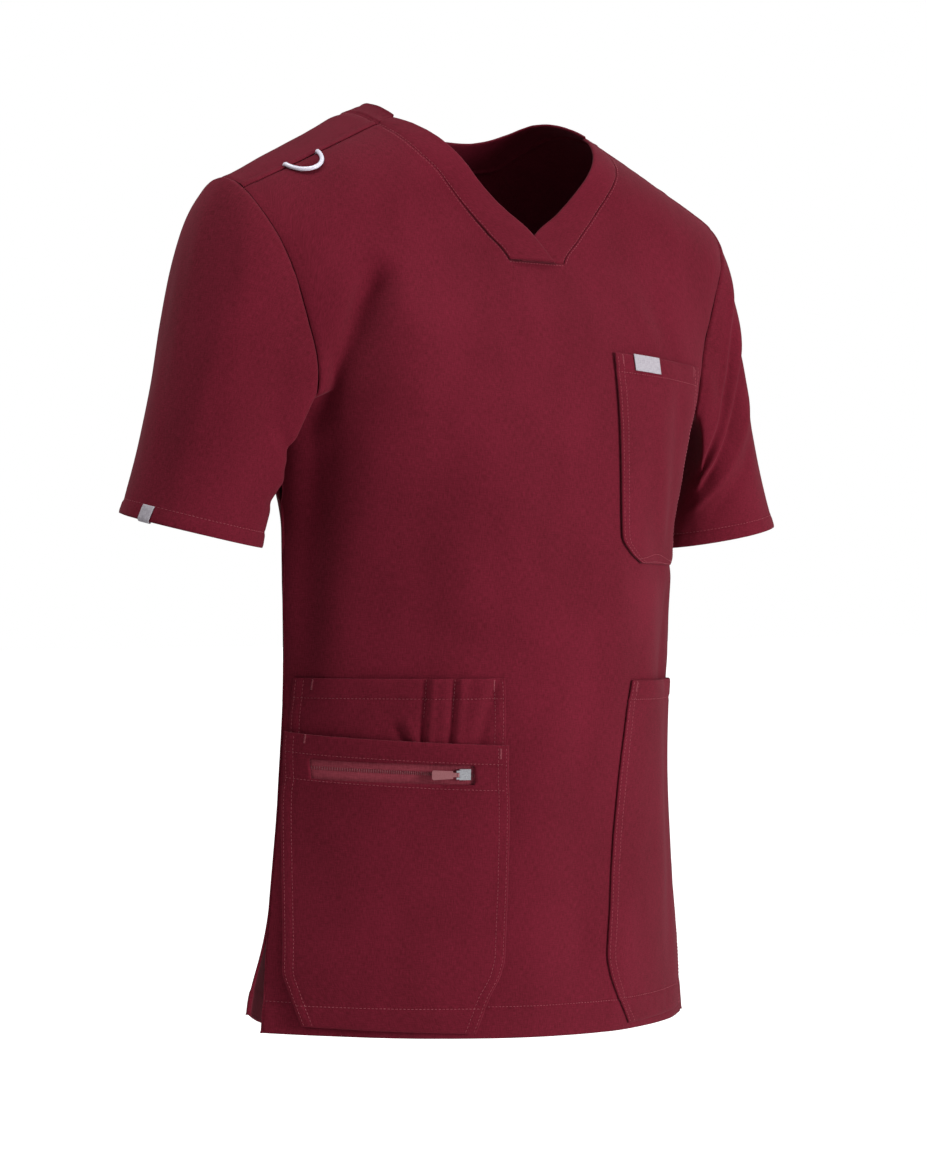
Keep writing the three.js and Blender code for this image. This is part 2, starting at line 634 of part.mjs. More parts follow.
function frontBand(sign) {
  const rows = FRONT_ROWS.slice(V_ROW).map((row, i) => {
    const edge = FRONT_BAND_EDGE[i];
    return {
      seam: seamAt(front, front.neck + i, MIDDLE + sign),
      from: { x: sign * row.x, h: lengthAt(row.x, row.z, 1) },
      to: { x: sign * edge.x, h: lengthAt(edge.x, edge.z, 1) },
      up: i === 0 ? SEAM : 0,
    };
  });
  rows.push({
    seam: seamAt(front, front.grid.length - 1, MIDDLE + sign),
    from: { x: sign * FRONT_SEAM[0].x, h: FRONT_SEAM[0].h },
    to: { x: sign * BAND_END.x, h: BAND_END.h },
    shift: SEAM / 2,
  });
  const over = sign < 0 ? LAP : LAP.map(() => 0);
  return bandWall(rows, 1, (i) => LAP_LIFT * over[i], sign > 0);
}

function backBand() {
  const half = (sign) => BACK_YOKE.map((row, i) => {
    const edge = BACK_BAND_EDGE[i + 1] ?? BAND_END;
    return {
      seam: seamAt(back, back.neck + i, MIDDLE + sign),
      from: { x: sign * row.x, h: row.h },
      to: { x: sign * edge.x, h: edge.h },
      shift: edge === BAND_END ? -SEAM / 2 : 0,
    };
  });
  const nape = {
    seam: seamAt(back, back.neck, MIDDLE),
    from: { x: 0, h: BACK_YOKE[0].h },
    to: BACK_BAND_EDGE[0],
  };
  return bandWall([...half(-1).reverse(), nape, ...half(1)], -1, () => 0, true);
}

add('neck_band_left', frontBand(1));
add('neck_band_right', frontBand(-1));
add('neck_band_back', backBand());

// ---------------------------------------------------------------- patch pockets
const evenColumns = Array.from({ length: PATCH_COLUMNS }, (_, k) => k / (PATCH_COLUMNS - 1));

// A patch on the front, its points moved out from the form by lift; side -1 is the wearer's right.
function patch(table, side, { lift, ply = CLOTH, columns = evenColumns, keep }) {
  const rows = [...table].reverse();
  const points = [];
  const away = [];
  for (const row of rows) {
    const line = [];
    const out = [];
    for (const t of columns) {
      const from = Math.asin(Math.min(row.inner / body.half(row.z), 1));
      const to = Math.asin(Math.min(row.outer / body.half(row.z), 1));
      const z = row.z - row.drop * t;
      const x = side * Math.sin(mix(from, to, t)) * body.half(row.z);
      const h = lengthAt(x, z, 1);
      line.push(swing(form(x, h), x, z, 1));
      out.push(formNormal(x, h));
    }
    if (side < 0) line.reverse();
    if (side < 0) out.reverse();
    points.push(line);
    away.push(out);
  }
  return wall(offset(points, away, lift + ply), offset(points, away, lift), { keep });
}

// The columns of the right-hand pockets, with the zip window's two ends among them.
const windowRow = ZIP_POCKET[ZIP_WINDOW.row];
const angleOf = (x) => Math.asin(x / body.half(windowRow.z));
const share = (x) => (angleOf(x) - angleOf(windowRow.inner))
  / (angleOf(windowRow.outer) - angleOf(windowRow.inner));
const [windowIn, windowOut] = [share(ZIP_WINDOW.inner), share(ZIP_WINDOW.outer)];
const WINDOW_STEPS = 6;
const zipColumns = [0, windowIn / 2];
for (let k = 0; k <= WINDOW_STEPS; k += 1) zipColumns.push(mix(windowIn, windowOut, k / WINDOW_STEPS));
zipColumns.push((windowOut + 1) / 2, 1);

add('pen_pocket', patch(PEN_POCKET, -1, { lift: PEN_LIFT, columns: zipColumns }));
add('zip_pocket', patch(ZIP_POCKET, -1, {
  lift: ZIP_LIFT,
  columns: zipColumns,
  keep: (i, j) => i !== ZIP_POCKET.length - 2 - ZIP_WINDOW.row || j < 2 || j > 1 + WINDOW_STEPS,
}));
add('zip_tape', patch(ZIP_TAPE, -1, { lift: TAPE_LIFT, ply: TAPE_PLY }), { color: 0x6a2230 });
add('hip_pocket_left', patch(HIP_POCKET, 1, { lift: LAY }));
add('chest_pocket', patch(CHEST_POCKET, 1, { lift: 2 * LAY }));
add('chest_label', patch(LABEL, 1, { lift: 3 * LAY + CLOTH, ply: LABEL_PLY, columns: [0, 0.5, 1] }), {
  color: 0xa5a0a5,
});

// ---------------------------------------------------------------- zip slider and pull tab
// A place on the front with its own axes: along points to the wearer's right, out leaves the cloth.
function placeOn(x, z, lift) {
  const h = lengthAt(x, z, 1);
  const out = formNormal(x, h);
  const up = V(0, 0, 1).addScaledVector(out, -out.z).normalize();
  const along = up.clone().cross(out).negate();
  const at = form(x, h).addScaledVector(out, lift);
  const frame = new THREE.Matrix4().makeBasis(along, up.clone().negate(), out).setPosition(at);
  return { frame, up };
}

function block(from, to) {
  const box = new THREE.BoxGeometry(to.x - from.x, to.y - from.y, to.z - from.z);
  return box.translate((from.x + to.x) / 2, (from.y + to.y) / 2, (from.z + to.z) / 2);
}

const zipPlace = placeOn(-SLIDER.x, SLIDER.z, TAPE_LIFT + TAPE_PLY + SEAM);
const HINGE_HEIGHT = SLIDER.height + PIVOT.above;
const HINGE_ALONG = SLIDER.length / 2 + PIVOT.past;

function slider() {
  const { length, width, height, lug, lugRise, lugInto, lugPast } = SLIDER;
  const gap = PULL.neck / 2 + SEAM;
  const plate = block(V(-length / 2, -width / 2, 0), V(length / 2, width / 2, height));
  const lugs = [-1, 1].map((side) => {
    const [near, far] = [side * gap, side * (gap + lug)];
    const low = V(length / 2 - lugInto, Math.min(near, far), 0);
    return block(low, V(HINGE_ALONG + lugPast, Math.max(near, far), height + lugRise));
  });
  return join(plate, ...lugs);
}

function pullTab() {
  const { length, width, thick, neck, neckLength, knuckle, corner, taper, taperLength } = PULL;
  const barrel = new THREE.CylinderGeometry(knuckle, knuckle, neck, BARREL_SIDES);
  const tongue = block(V(0, -neck / 2, -thick / 2), V(neckLength + 1, neck / 2, thick / 2));
  const outline = new THREE.Shape();
  const [start, end, side] = [neckLength, neckLength + length, width / 2];
  outline.moveTo(start + taperLength, -side + taper);
  outline.lineTo(end - corner, -side);
  outline.absarc(end - corner, -side + corner, corner, -Math.PI / 2, 0, false);
  outline.lineTo(end, side - corner);
  outline.absarc(end - corner, side - corner, corner, 0, Math.PI / 2, false);
  outline.lineTo(start + taperLength, side - taper);
  outline.lineTo(start, 0);
  outline.closePath();
  const sheet = { depth: thick, bevelEnabled: false, curveSegments: CORNER_SIDES };
  const plate = new THREE.ExtrudeGeometry(outline, sheet);
  return join(barrel, tongue, plate.translate(0, 0, -thick / 2));
}

const SILVER = { color: 0xb9b9bd, roughness: 0.35, metalness: 0.9 };
add('zip_slider', slider(), SILVER).applyMatrix4(zipPlace.frame);
const hinge = V(HINGE_ALONG, 0, HINGE_HEIGHT).applyMatrix4(zipPlace.frame);
const pull = add('zip_pull', pullTab(), { color: 0x8a5358, roughness: 0.5 });
pull.applyMatrix4(zipPlace.frame.clone().setPosition(hinge));

// ---------------------------------------------------------------- ring in the shoulder seam
function shoulderRing() {
  const { x, h, width, depth, wire, gap, tuck, corner, arcSteps, sides } = RING;
  const centre = form(-x, h);
  const out = formNormal(-x, h);
  const across = form(-x + 1, h).sub(form(-x - 1, h));
  across.addScaledVector(out, -across.dot(out)).normalize();
  const down = across.clone().cross(out).normalize();
  const middle = centre.addScaledVector(out, wire / 2 + gap);
  const at = (u, v) => middle.clone().addScaledVector(across, u).addScaledVector(down, v);
  const bar = wire / 2 - (h - (FRONT_SEAM[0].h + FRONT_SEAM[0].armH) / 2 + tuck);
  const path = [];
  for (let i = 0; i <= arcSteps; i += 1) {
    const turn = (i / arcSteps) * Math.PI;
    path.push(at((width / 2) * Math.cos(turn), bar + (depth - wire) * Math.sin(turn)));
  }
  path.push(at(-width / 2 + corner, bar - corner));
  path.push(at(width / 2 - corner, bar - corner));
  return ringTube(path, out, wire / 2, sides);
}
add('shoulder_ring', shoulderRing(), { color: 0xd8d6e0, roughness: 0.35 });

// ---------------------------------------------------------------- tag folded over the right cuff
function cuffTag() {
  const { angle, width, height, gap, ply } = TAG;
  const middle = Math.PI - THREE.MathUtils.degToRad(angle);
  const half = width / 2 / SLEEVE.acrossX;
  const rows = [];
  for (const step of [-1, 0, 1]) {
    const turn = middle + step * half;
    const edge = cuffPoint(-1, turn);
    const out = V(Math.cos(turn) * SLEEVE.acrossY, -Math.sin(turn) * SLEEVE.acrossX, 0).normalize();
    const lean = V(-TAG.lean, 0, -1).normalize();
    rows.push({ edge, out, lean });
  }
  // the fold's section: up the outside, round the hem's edge and up the inside
  const section = [
    { out: gap, down: -height }, { out: gap, down: 0 }, { out: 0, down: gap },
    { out: -HEM_PLY, down: gap }, { out: -HEM_PLY - gap, down: 0 }, { out: -HEM_PLY - gap, down: -height },
  ];
  const thick = [
    { out: ply, down: 0 }, { out: ply, down: ply / 2 }, { out: ply / 2, down: ply },
    { out: -ply / 2, down: ply }, { out: -ply, down: ply / 2 }, { out: -ply, down: 0 },
  ];
  const place = ({ edge, out, lean }, a, b) => edge.clone()
    .addScaledVector(out, a.out + (b?.out ?? 0))
    .addScaledVector(lean, a.down + (b?.down ?? 0));
  const face = rows.map((row) => section.map((a) => place(row, a)));
  const skin = rows.map((row) => section.map((a, i) => place(row, a, thick[i])));
  return wall(face, skin);
}
add('sleeve_tag', cuffTag(), { color: 0xa5a0a5 });

export default scrubTop;
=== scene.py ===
"""A burgundy scrub top, filled out as if worn. Sizes are in millimetres until a mesh is made."""
import math
import bmesh
import bpy
import numpy as np
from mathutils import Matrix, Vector


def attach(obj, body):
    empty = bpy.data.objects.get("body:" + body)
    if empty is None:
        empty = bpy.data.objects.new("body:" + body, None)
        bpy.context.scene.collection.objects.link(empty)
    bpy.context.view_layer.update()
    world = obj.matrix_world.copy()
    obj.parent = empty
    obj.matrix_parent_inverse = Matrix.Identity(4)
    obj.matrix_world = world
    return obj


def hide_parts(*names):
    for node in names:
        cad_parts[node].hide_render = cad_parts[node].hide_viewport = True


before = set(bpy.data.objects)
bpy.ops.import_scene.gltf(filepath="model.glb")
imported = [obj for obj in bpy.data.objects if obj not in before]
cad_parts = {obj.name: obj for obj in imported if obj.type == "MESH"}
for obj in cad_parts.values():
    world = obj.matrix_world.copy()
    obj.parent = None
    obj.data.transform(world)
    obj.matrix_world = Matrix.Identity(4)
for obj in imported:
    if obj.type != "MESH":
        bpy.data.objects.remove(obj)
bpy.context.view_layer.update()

# ---------------------------------------------------------------- the cut, as in the CAD part
CLOTH, HEM_PLY, SEAM, ARMPIT_GAP, LAY = 1.2, 2.4, 0.3, 1.2, 0.9
HEM_Z, HEM_HANG, HANG_TOP, VENT_Z, ARMPIT_Z, NECK_X = -735, 9, -560, -626, -243, 93
SHOULDER_SLOPE, NAPE_ROUND, ARCH = 0.42, 15, 60
TURN = ARCH * math.pi / 2
YOKE_RISE, YOKE_H, YOKE_REACH, YOKE_END, YOKE_FADE = 24, -48, 50, 290, 170
SECTION_POWER, VENT_OPEN, KICK_OUT, KICK_BACK, KICK_UP, LEFT_KICK = 2.2, 3, 8, 6, 14, 0.3
# z, half width, side seam's y, front, back, roundness
BODY = np.array([
    (-740, 213, -8, -110, 111, 0.92), (-668, 207, -7, -113, 109, 0.92), (-600, 200, -6, -119, 105, 0.92),
    (-545, 195, -6, -125, 101, 0.9), (-442, 191, -8, -134, 98, 0.86), (-380, 191, -7, -133, 101, 0.8),
    (-333, 190, -6, -130, 106, 0.72), (-290, 196, -6, -127, 111, 0.62), (-250, 206, -5, -121, 117, 0.55),
    (-219, 221, -3, -115, 120, 0.5), (-167, 240, 0, -103, 119, 0.5), (-133, 266, 0, -91, 113, 0.5),
    (-111, 280, 0, -84, 106, 0.5), (-60, 290, 0, -76, 88, 0.5), (60, 290, 0, -74, 74, 0.5)], float)
# face, x, z, x2, z2, how proud, width
FOLDS = [
    (1, -150, -140, -182, -330, -7, 17), (1, -118, -165, -150, -360, 5, 20),
    (1, 186, -205, 182, -350, -5, 14), (1, 112, -330, 148, -560, -4, 18),
    (-1, -150, -150, -172, -330, -6, 18), (-1, 148, -160, 176, -345, -7, 18),
    (-1, -52, -430, -70, -700, 5, 26), (-1, 64, -400, 82, -690, 5, 28)]
# x, z, armhole x, armhole z
FRONT_ROWS = [(14, -243, 208, -243), (15, -212, 192, -228), (18, -180, 194, -202), (22, -148, 200, -174),
              (28, -117, 208, -148), (46, -97, 215, -128), (62, -80, 222, -112), (86, -52, 229, -96),
              (103, -31, 234, -83)]
BACK_ROWS = [(14, -243, 208, -243), (15, -205, 202, -222), (16, -160, 206, -190), (17, -115, 213, -155),
             (18, -70, 222, -122)]
# x, h, armhole x, armhole h
FRONT_SEAM = [(114, 20, 238, 32)]
BACK_YOKE = [(20, -86, 231, -50), (48, -83, 235, -34), (76, -75, 238, -18), (98, -57, 239, -4),
             (110, -28, 240, 8), (113, 0, 239, 20), (114, 20, 238, 32)]
V_ROW, NAPE_ROW = 4, 5
FRONT_BAND_EDGE = [(-17, -117), (6, -91), (27, -76), (48, -57), (72, -29)]
BACK_BAND_EDGE = [(0, -68), (17, -67), (40, -64), (62, -57), (81, -43), (91, -22), (95, 0)]
BAND_END = (97, 20)
LAP_LIFT, LAP = CLOTH + 1, [1, 1, 0.7, 0.2, 0, 0]
BODY_ROWS = [-735, -710, -681, -653, -626, -590, -550, -510, -470, -430, -390, -350, -310, -275]
# z, inner, outer, drop
PEN_POCKET = [(-449, 62, 187, 0), (-466, 61, 188, 0), (-484, 60, 189, 0), (-520, 59, 190, 0),
              (-590, 58, 194, 0), (-665, 57, 197, 0), (-682, 60, 198, 0), (-700, 68, 195, 0),
              (-728, 78, 189, -2)]
ZIP_POCKET = [(-501, 58, 190, -10), (-517, 57, 191, -6), (-532, 56, 191, -6), (-542, 55, 192, -6),
              (-580, 53, 194, -3), (-625, 52, 196, 0), (-665, 52, 198, 0), (-682, 55, 199, 0),
              (-700, 64, 196, 0), (-730, 75, 190, -3)]
WINDOW_ROW, WINDOW_IN, WINDOW_OUT = 1, 83, 179
HIP_POCKET = [(-453, 65, 187, 3), (-472, 61, 188, 3), (-520, 57, 190, 0), (-580, 55, 194, 0),
              (-630, 55, 196, 0), (-672, 53, 198, 0), (-686, 56, 199, 0), (-703, 64, 196, 0),
              (-730, 82, 190, -3)]
CHEST_POCKET = [(-189, 61, 178, 5), (-207, 60, 177, 5), (-250, 57, 174, 4), (-295, 53, 170, 3),
                (-336, 52, 166, 2), (-350, 62, 157, 2), (-359, 78, 142, 1)]
ZIP_TAPE = [(-512, 78, 184, -6), (-537, 78, 184, -6)]
LABEL = [(-189.5, 81, 113, 1.4), (-203, 81, 113, 1.4)]
TAPE_PLY, LABEL_PLY = 0.8, 0.6
PEN_LIFT = LAY
TAPE_LIFT = PEN_LIFT + CLOTH + LAY
ZIP_LIFT = TAPE_LIFT + TAPE_PLY + LAY
CUFF = (268, 5, -334)
CUFF_ACROSS, CUFF_DEEP, CUFF_DROP = 57, 50, 11
LEFT_IN, RIGHT_TILT = 4, 8  # the left cuff sits closer in, the right one lower in front
# how a sleeve leaves the armhole: outwards and down, each at the armpit and at the shoulder
HEAD_OUT, FALL = (0.45, 0.85), {-1: (0.9, 0.55), 1: (0.9, 0.95)}
HEAD_PROUD = (0.22, 0.4)  # how far it stands off, in front and behind
HEAD_REACH = {-1: (0.3, 0.14), 1: (0.3, 0.05)}  # shares of the sleeve's length
CUFF_REACH, STRAIGHT, FLARE = 0.35, 1.1, 0.25
HEM_WIDTH, CELL = 25, 2.6

# ---------------------------------------------------------------- creases and unevenness
# x, z, x2, z2, sideways bow, how proud, width
FRONT_CREASES = [
    (-146, -130, -192, -250, 2, -11, 12), (-186, -205, -192, -420, 2, -5, 14),
    (-128, -140, -160, -330, 6, 3.2, 17), (-176, -250, -186, -480, 4, -2.4, 13),
    (-160, -330, -168, -480, 6, 2.2, 14), (-60, -250, -96, -470, 10, 1.4, 26),
    (40, -170, 52, -440, -6, 1.3, 30), (14, -420, 30, -700, 4, -1.6, 24),
    (-20, -470, -30, -720, -5, 1.5, 26), (150, -380, 132, -460, 4, -2.4, 12),
    (112, -372, 96, -470, 6, 1.6, 16), (168, -360, 176, -450, 0, 2.0, 12),
    (-130, -395, -60, -432, 4, -1.2, 16), (120, -130, 150, -205, 4, -1.8, 14),
    (86, -120, 118, -176, 4, 1.2, 14), (-70, -140, -30, -172, 5, -0.9, 20)]
BACK_CREASES = [
    (-120, -120, -186, -320, -8, -5.5, 20), (122, -126, 184, -310, 8, -5, 19),
    (-176, -250, -180, -460, 4, -2.4, 13), (172, -260, 180, -480, -4, -2.6, 13),
    (-30, -90, -70, -330, -8, 1.6, 30), (36, -95, 78, -350, 8, -1.8, 26),
    (-110, -350, -80, -600, 8, -2.0, 24), (20, -420, 4, -715, 5, -2.2, 22),
    (118, -380, 104, -650, -6, 2.0, 24), (-70, -330, 40, -352, 8, -1.4, 18),
    (-140, -600, -120, -720, 3, 2.0, 18), (-90, -62, -150, -90, 4, -1.2, 16)]


def smooth(t):
    t = np.clip(t, 0, 1)
    return t * t * (3 - 2 * t)


def mix(a, b, t):
    return a + (b - a) * t


def bell(away, width):
    return np.exp(-(away / width) ** 2)


def monotone(xs, ys):
    """A smooth curve through the points that never overshoots them."""
    xs, ys = np.asarray(xs, float), np.asarray(ys, float)
    step = np.diff(xs)
    slope = np.diff(ys) / step
    tangent = np.zeros_like(xs)
    tangent[0], tangent[-1] = slope[0], slope[-1]
    for i in range(1, len(xs) - 1):
        if slope[i - 1] * slope[i] > 0:
            w1, w2 = 2 * step[i] + step[i - 1], step[i] + 2 * step[i - 1]
            tangent[i] = (w1 + w2) / (w1 / slope[i - 1] + w2 / slope[i])

    def curve(x):
        x = np.asarray(x, float)
        i = np.clip(np.searchsorted(xs, x) - 1, 0, len(step) - 1)
        t = np.clip((x - xs[i]) / step[i], 0, 1)
        s = 1 - t
        return ((1 + 2 * t) * s * s * ys[i] + t * s * s * step[i] * tangent[i]
                + t * t * (3 - 2 * t) * ys[i + 1] - t * t * s * step[i] * tangent[i + 1])
    return curve


half, side_y, front_y, back_y, round_of = (monotone(BODY[:, 0], BODY[:, k]) for k in range(1, 6))


def uneven(x, y, seed):
    """Smooth noise from -1 to 1, one unit a cell."""
    table = np.random.RandomState(seed).uniform(-1, 1, (64, 64))
    xi, yi = np.floor(x).astype(int), np.floor(y).astype(int)
    fx, fy = smooth(x - xi), smooth(y - yi)
    xa, xb, ya, yb = xi % 64, (xi + 1) % 64, yi % 64, (yi + 1) % 64
    return mix(mix(table[ya, xa], table[ya, xb], fx), mix(table[yb, xa], table[yb, xb], fx), fy)


def ridge(x):
    return -SHOULDER_SLOPE * (np.hypot(x, NAPE_ROUND) - NECK_X)


def height_at(x, h):
    turned = np.minimum(np.abs(h), TURN)
    return ridge(x) - ARCH * (1 - np.cos(turned / ARCH)) - (np.abs(h) - turned)


def length_at(x, z, face=1):
    drop = ridge(x) - z
    bend = ARCH * np.arccos(np.clip(1 - drop / ARCH, -1, 1))
    return face * np.where(drop >= ARCH, TURN + drop - ARCH, bend)


def crease(x, z, row, fades=(0.25, 0.4)):
    x1, z1, x2, z2, bow, proud, width = row
    run = np.array([x2 - x1, z2 - z1], float)
    size = np.hypot(*run)
    along = ((x - x1) * run[0] + (z - z1) * run[1]) / size ** 2
    aside = ((x - x1) * run[1] - (z - z1) * run[0]) / size
    aside = aside - bow * 4 * np.clip(along, 0, 1) * (1 - np.clip(along, 0, 1))
    fade = smooth(along / fades[0] + 0.5) * smooth((1 - along) / fades[1] + 0.5)
    return proud * bell(aside, width) * fade


def form(x, h):
    x, h = np.asarray(x, float), np.asarray(h, float)
    z = height_at(x, h)
    face = np.where(h >= 0, 1, -1)
    fold = np.zeros_like(z)
    for row in FOLDS:
        fold += np.where(face == row[0], crease(x, z, (*row[1:5], 0, *row[5:])), 0)
    out = np.minimum(np.abs(x) / half(z), 1)
    swell = (1 - out ** SECTION_POWER) ** round_of(z)
    lean = np.sin(np.minimum(np.abs(h), TURN) / ARCH)
    depth = np.where(face > 0, front_y(z), back_y(z)) - side_y(z) - face * fold
    across = np.clip(np.abs(x) / NECK_X, 0, 1) * np.clip((YOKE_END - np.abs(x)) / YOKE_FADE, 0, 1)
    yoke = YOKE_RISE * across * bell(h - YOKE_H, YOKE_REACH)
    hang = HEM_HANG * (x / half(HEM_Z)) * np.clip((HANG_TOP - z) / (HANG_TOP - HEM_Z), 0, 1) ** 2
    return np.stack([x, side_y(z) + depth * swell * lean, z + yoke - hang], -1)


def unit(v):
    return v / np.maximum(np.linalg.norm(v, axis=-1, keepdims=True), 1e-9)


def form_normal(x, h):
    e = 2
    return unit(np.cross(form(x + e, h) - form(x - e, h), form(x, h - e) - form(x, h + e)))


def swing(p, x, z, face):
    near = smooth((np.arcsin(np.minimum(np.abs(x) / half(z), 1)) / (math.pi / 2) - 0.6) / 0.4)
    open_ = smooth((VENT_Z - z) / (VENT_Z - HEM_Z))
    near = near * open_
    p = p.copy()
    if face > 0:
        p[..., 1] -= VENT_OPEN * near
    else:
        near = near * np.where(x > 0, LEFT_KICK, 1)
        p[..., 0] += np.sign(x) * KICK_OUT * near
        p[..., 1] += KICK_BACK * near
        p[..., 2] += KICK_UP * near * open_
    return p


def relief(x, z, face):
    """How far the cloth of the body stands from its form, the same for a panel and what lies on it."""
    rows = FRONT_CREASES if face > 0 else BACK_CREASES
    sum_ = sum(crease(x, z, row) for row in rows)
    sum_ = sum_ + 1.1 * uneven(x / 55 + 9, z / 150, 3 + face) + 0.5 * uneven(x / 24, z / 60 + 5, 5 + face)
    sum_ = sum_ + 0.12 * uneven(x / 7, z / 16, 8 + face)
    return sum_ * smooth((half(z) - np.abs(x)) / 14)


def hem_relief(x, z):
    d = z - HEM_Z
    pucker = uneven(x / 5.5 + 40, d / 14, 12)
    return (0.5 * smooth((HEM_WIDTH + 0.8 - d) / 1.6) - 0.55 * bell(d - HEM_WIDTH, 1.3)
            + 0.3 * pucker * bell(d - HEM_WIDTH, 9) - 0.5 * bell(d, 1.2))


# ---------------------------------------------------------------- meshes
def new_object(name, mesh, material):
    obj = bpy.data.objects.new(name, mesh)
    bpy.context.scene.collection.objects.link(obj)
    mesh.materials.append(material)
    mesh.polygons.foreach_set("use_smooth", np.ones(len(mesh.polygons), bool))
    return obj


def mesh_from(name, vertices, faces, uv=None):
    """A mesh in metres from points in millimetres, its faces turned outwards."""
    used = np.zeros(len(vertices), bool)
    used[faces.ravel()] = True
    renumber = np.cumsum(used) - 1
    faces = renumber[faces]
    mesh = bpy.data.meshes.new(name)
    mesh.from_pydata((vertices[used] / 1000).tolist(), [], faces.tolist())
    mesh.update()
    if uv is not None:
        corners = np.empty(len(mesh.loops), np.int32)
        mesh.loops.foreach_get("vertex_index", corners)
        layer = mesh.uv_layers.new(name="cloth")
        layer.data.foreach_set("uv", (uv[used][corners] / 1000).ravel())
    a, b, c = (vertices[used][faces[:, k]] for k in range(3))
    d = vertices[used][faces[:, -1]]
    volume = np.sum(a * np.cross(b, c)) + (np.sum(a * np.cross(c, d)) if faces.shape[1] == 4 else 0)
    if volume < 0:
        mesh.flip_normals()
    return mesh


def arc_lengths(p):
    """Cloth length across from the first column and up from the first row."""
    steps = [np.linalg.norm(np.diff(p, axis=axis), axis=-1) for axis in (0, 1)]
    across = np.concatenate([np.zeros((len(p), 1)), np.cumsum(steps[1], 1)], 1)
    up = np.concatenate([np.zeros((1, p.shape[1])), np.cumsum(steps[0], 0)], 0)
    return across, up


def shell(name, outer, normal, thick, material, keep=None, loop=False, uv=None):
    """A closed wall of cloth between the outer points and the same moved in by its thickness."""
    rows, columns = outer.shape[:2]
    inner = outer - normal * (thick if np.isscalar(thick) else thick[..., None])
    cells = columns if loop else columns - 1
    kept = np.ones((rows - 1, cells), bool) if keep is None else keep
    i, j = np.nonzero(kept)
    size = rows * columns

    def at(layer, a, b):
        return layer * size + a * columns + b % columns
    faces = [np.stack([at(0, i, j), at(0, i, j + 1), at(0, i + 1, j + 1), at(0, i + 1, j)], 1),
             np.stack([at(1, i, j), at(1, i + 1, j), at(1, i + 1, j + 1), at(1, i, j + 1)], 1)]
    padded = np.zeros((rows + 1, cells + 2), bool)
    padded[1:-1, 1:-1] = kept
    if loop:
        padded[1:-1, 0], padded[1:-1, -1] = kept[:, -1], kept[:, 0]
    for di, dj, edge in ((-1, 0, ((0, 0), (0, 1))), (1, 0, ((1, 1), (1, 0))), (0, -1, ((1, 0), (0, 0))),
                         (0, 1, ((0, 1), (1, 1)))):
        bare = ~padded[i + 1 + di, j + 1 + dj]
        a, b = i[bare], j[bare]
        (r0, c0), (r1, c1) = edge
        faces.append(np.stack([at(0, a + r0, b + c0), at(1, a + r0, b + c0), at(1, a + r1, b + c1),
                               at(0, a + r1, b + c1)], 1))
    if uv is None:
        uv = np.stack(arc_lengths(outer), -1)
    vertices = np.concatenate([outer.reshape(-1, 3), inner.reshape(-1, 3)])
    both = np.concatenate([uv.reshape(-1, 2)] * 2)
    return new_object(name, mesh_from(name, vertices, np.concatenate(faces), both), material)


def grid_normals(p, loop=False):
    if loop:
        across = np.roll(p, -1, 1) - np.roll(p, 1, 1)
    else:
        across = np.gradient(p, axis=1)
    return unit(np.cross(across, np.gradient(p, axis=0)))


# ---------------------------------------------------------------- stitches
thread = {"points": [], "faces": [], "count": 0}


def between(places, s, points):
    return np.stack([np.interp(places, s, points[:, k]) for k in range(3)], 1)


def dashes(points, normals, pitch=3.1, length=2.2, width=0.55, height=0.28):
    """A run of thread along a line on the cloth, one small raised dash to each stitch."""
    gaps = np.linalg.norm(np.diff(points, axis=0), axis=1)
    s = np.concatenate([[0], np.cumsum(gaps)])
    if s[-1] < pitch:
        return
    middles = np.arange(pitch / 2, s[-1] - length / 2, pitch)
    centre, start, end, out = (between(middles + d, s, source) for source, d in (
        (points, 0), (points, -length / 2), (points, length / 2), (normals, 0)))
    out = unit(out)
    aside = unit(np.cross(end - start, out)) * width / 2
    lift = out * height
    first, last = centre + (start - centre) * 0.65, centre + (end - centre) * 0.65
    sink = out * 0.15
    ring = np.stack([start - sink, first - aside - sink, first + lift, first + aside - sink,
                     last - aside - sink, last + lift, last + aside - sink, end - sink], 1)
    base = thread["count"] + 8 * np.arange(len(middles))[:, None]
    faces = np.array([(0, 2, 1), (0, 3, 2), (0, 1, 3), (1, 2, 5), (1, 5, 4), (2, 3, 6), (2, 6, 5), (3, 1, 4),
                      (3, 4, 6), (4, 5, 7), (5, 6, 7), (6, 4, 7)])
    thread["points"].append(ring.reshape(-1, 3))
    thread["faces"].append((base[:, :, None] + faces[None]).reshape(-1, 3))
    thread["count"] += 8 * len(middles)


def sample(grid, rows, columns):
    """Points of the grid at places between its rows and columns."""
    rows = np.clip(rows, 0, grid.shape[0] - 1.001)
    columns = np.clip(columns, 0, grid.shape[1] - 1.001)
    i, j = rows.astype(int), columns.astype(int)
    a, b = (rows - i)[:, None], (columns - j)[:, None]
    return mix(mix(grid[i, j], grid[i, j + 1], b), mix(grid[i + 1, j], grid[i + 1, j + 1], b), a)


def sew(one, rows, columns, **kw):
    """Stitches along a line of places on a piece's grid."""
    columns = columns.astype(float)
    dashes(sample(one["p"], rows, columns), sample(one["n"], rows, columns), **kw)


def sew_row(p, n, above, columns, **kw):
    """Stitches across the grid, at a height of cloth up from its first row, for a range of columns."""
    _, up = arc_lengths(p)
    columns = np.arange(*columns) if isinstance(columns, tuple) else columns
    rows = np.array([np.interp(above if above >= 0 else up[-1, j] + above, up[:, j], np.arange(len(up)))
                     for j in columns])
    dashes(sample(p, rows, columns.astype(float)), sample(n, rows, columns.astype(float)), **kw)


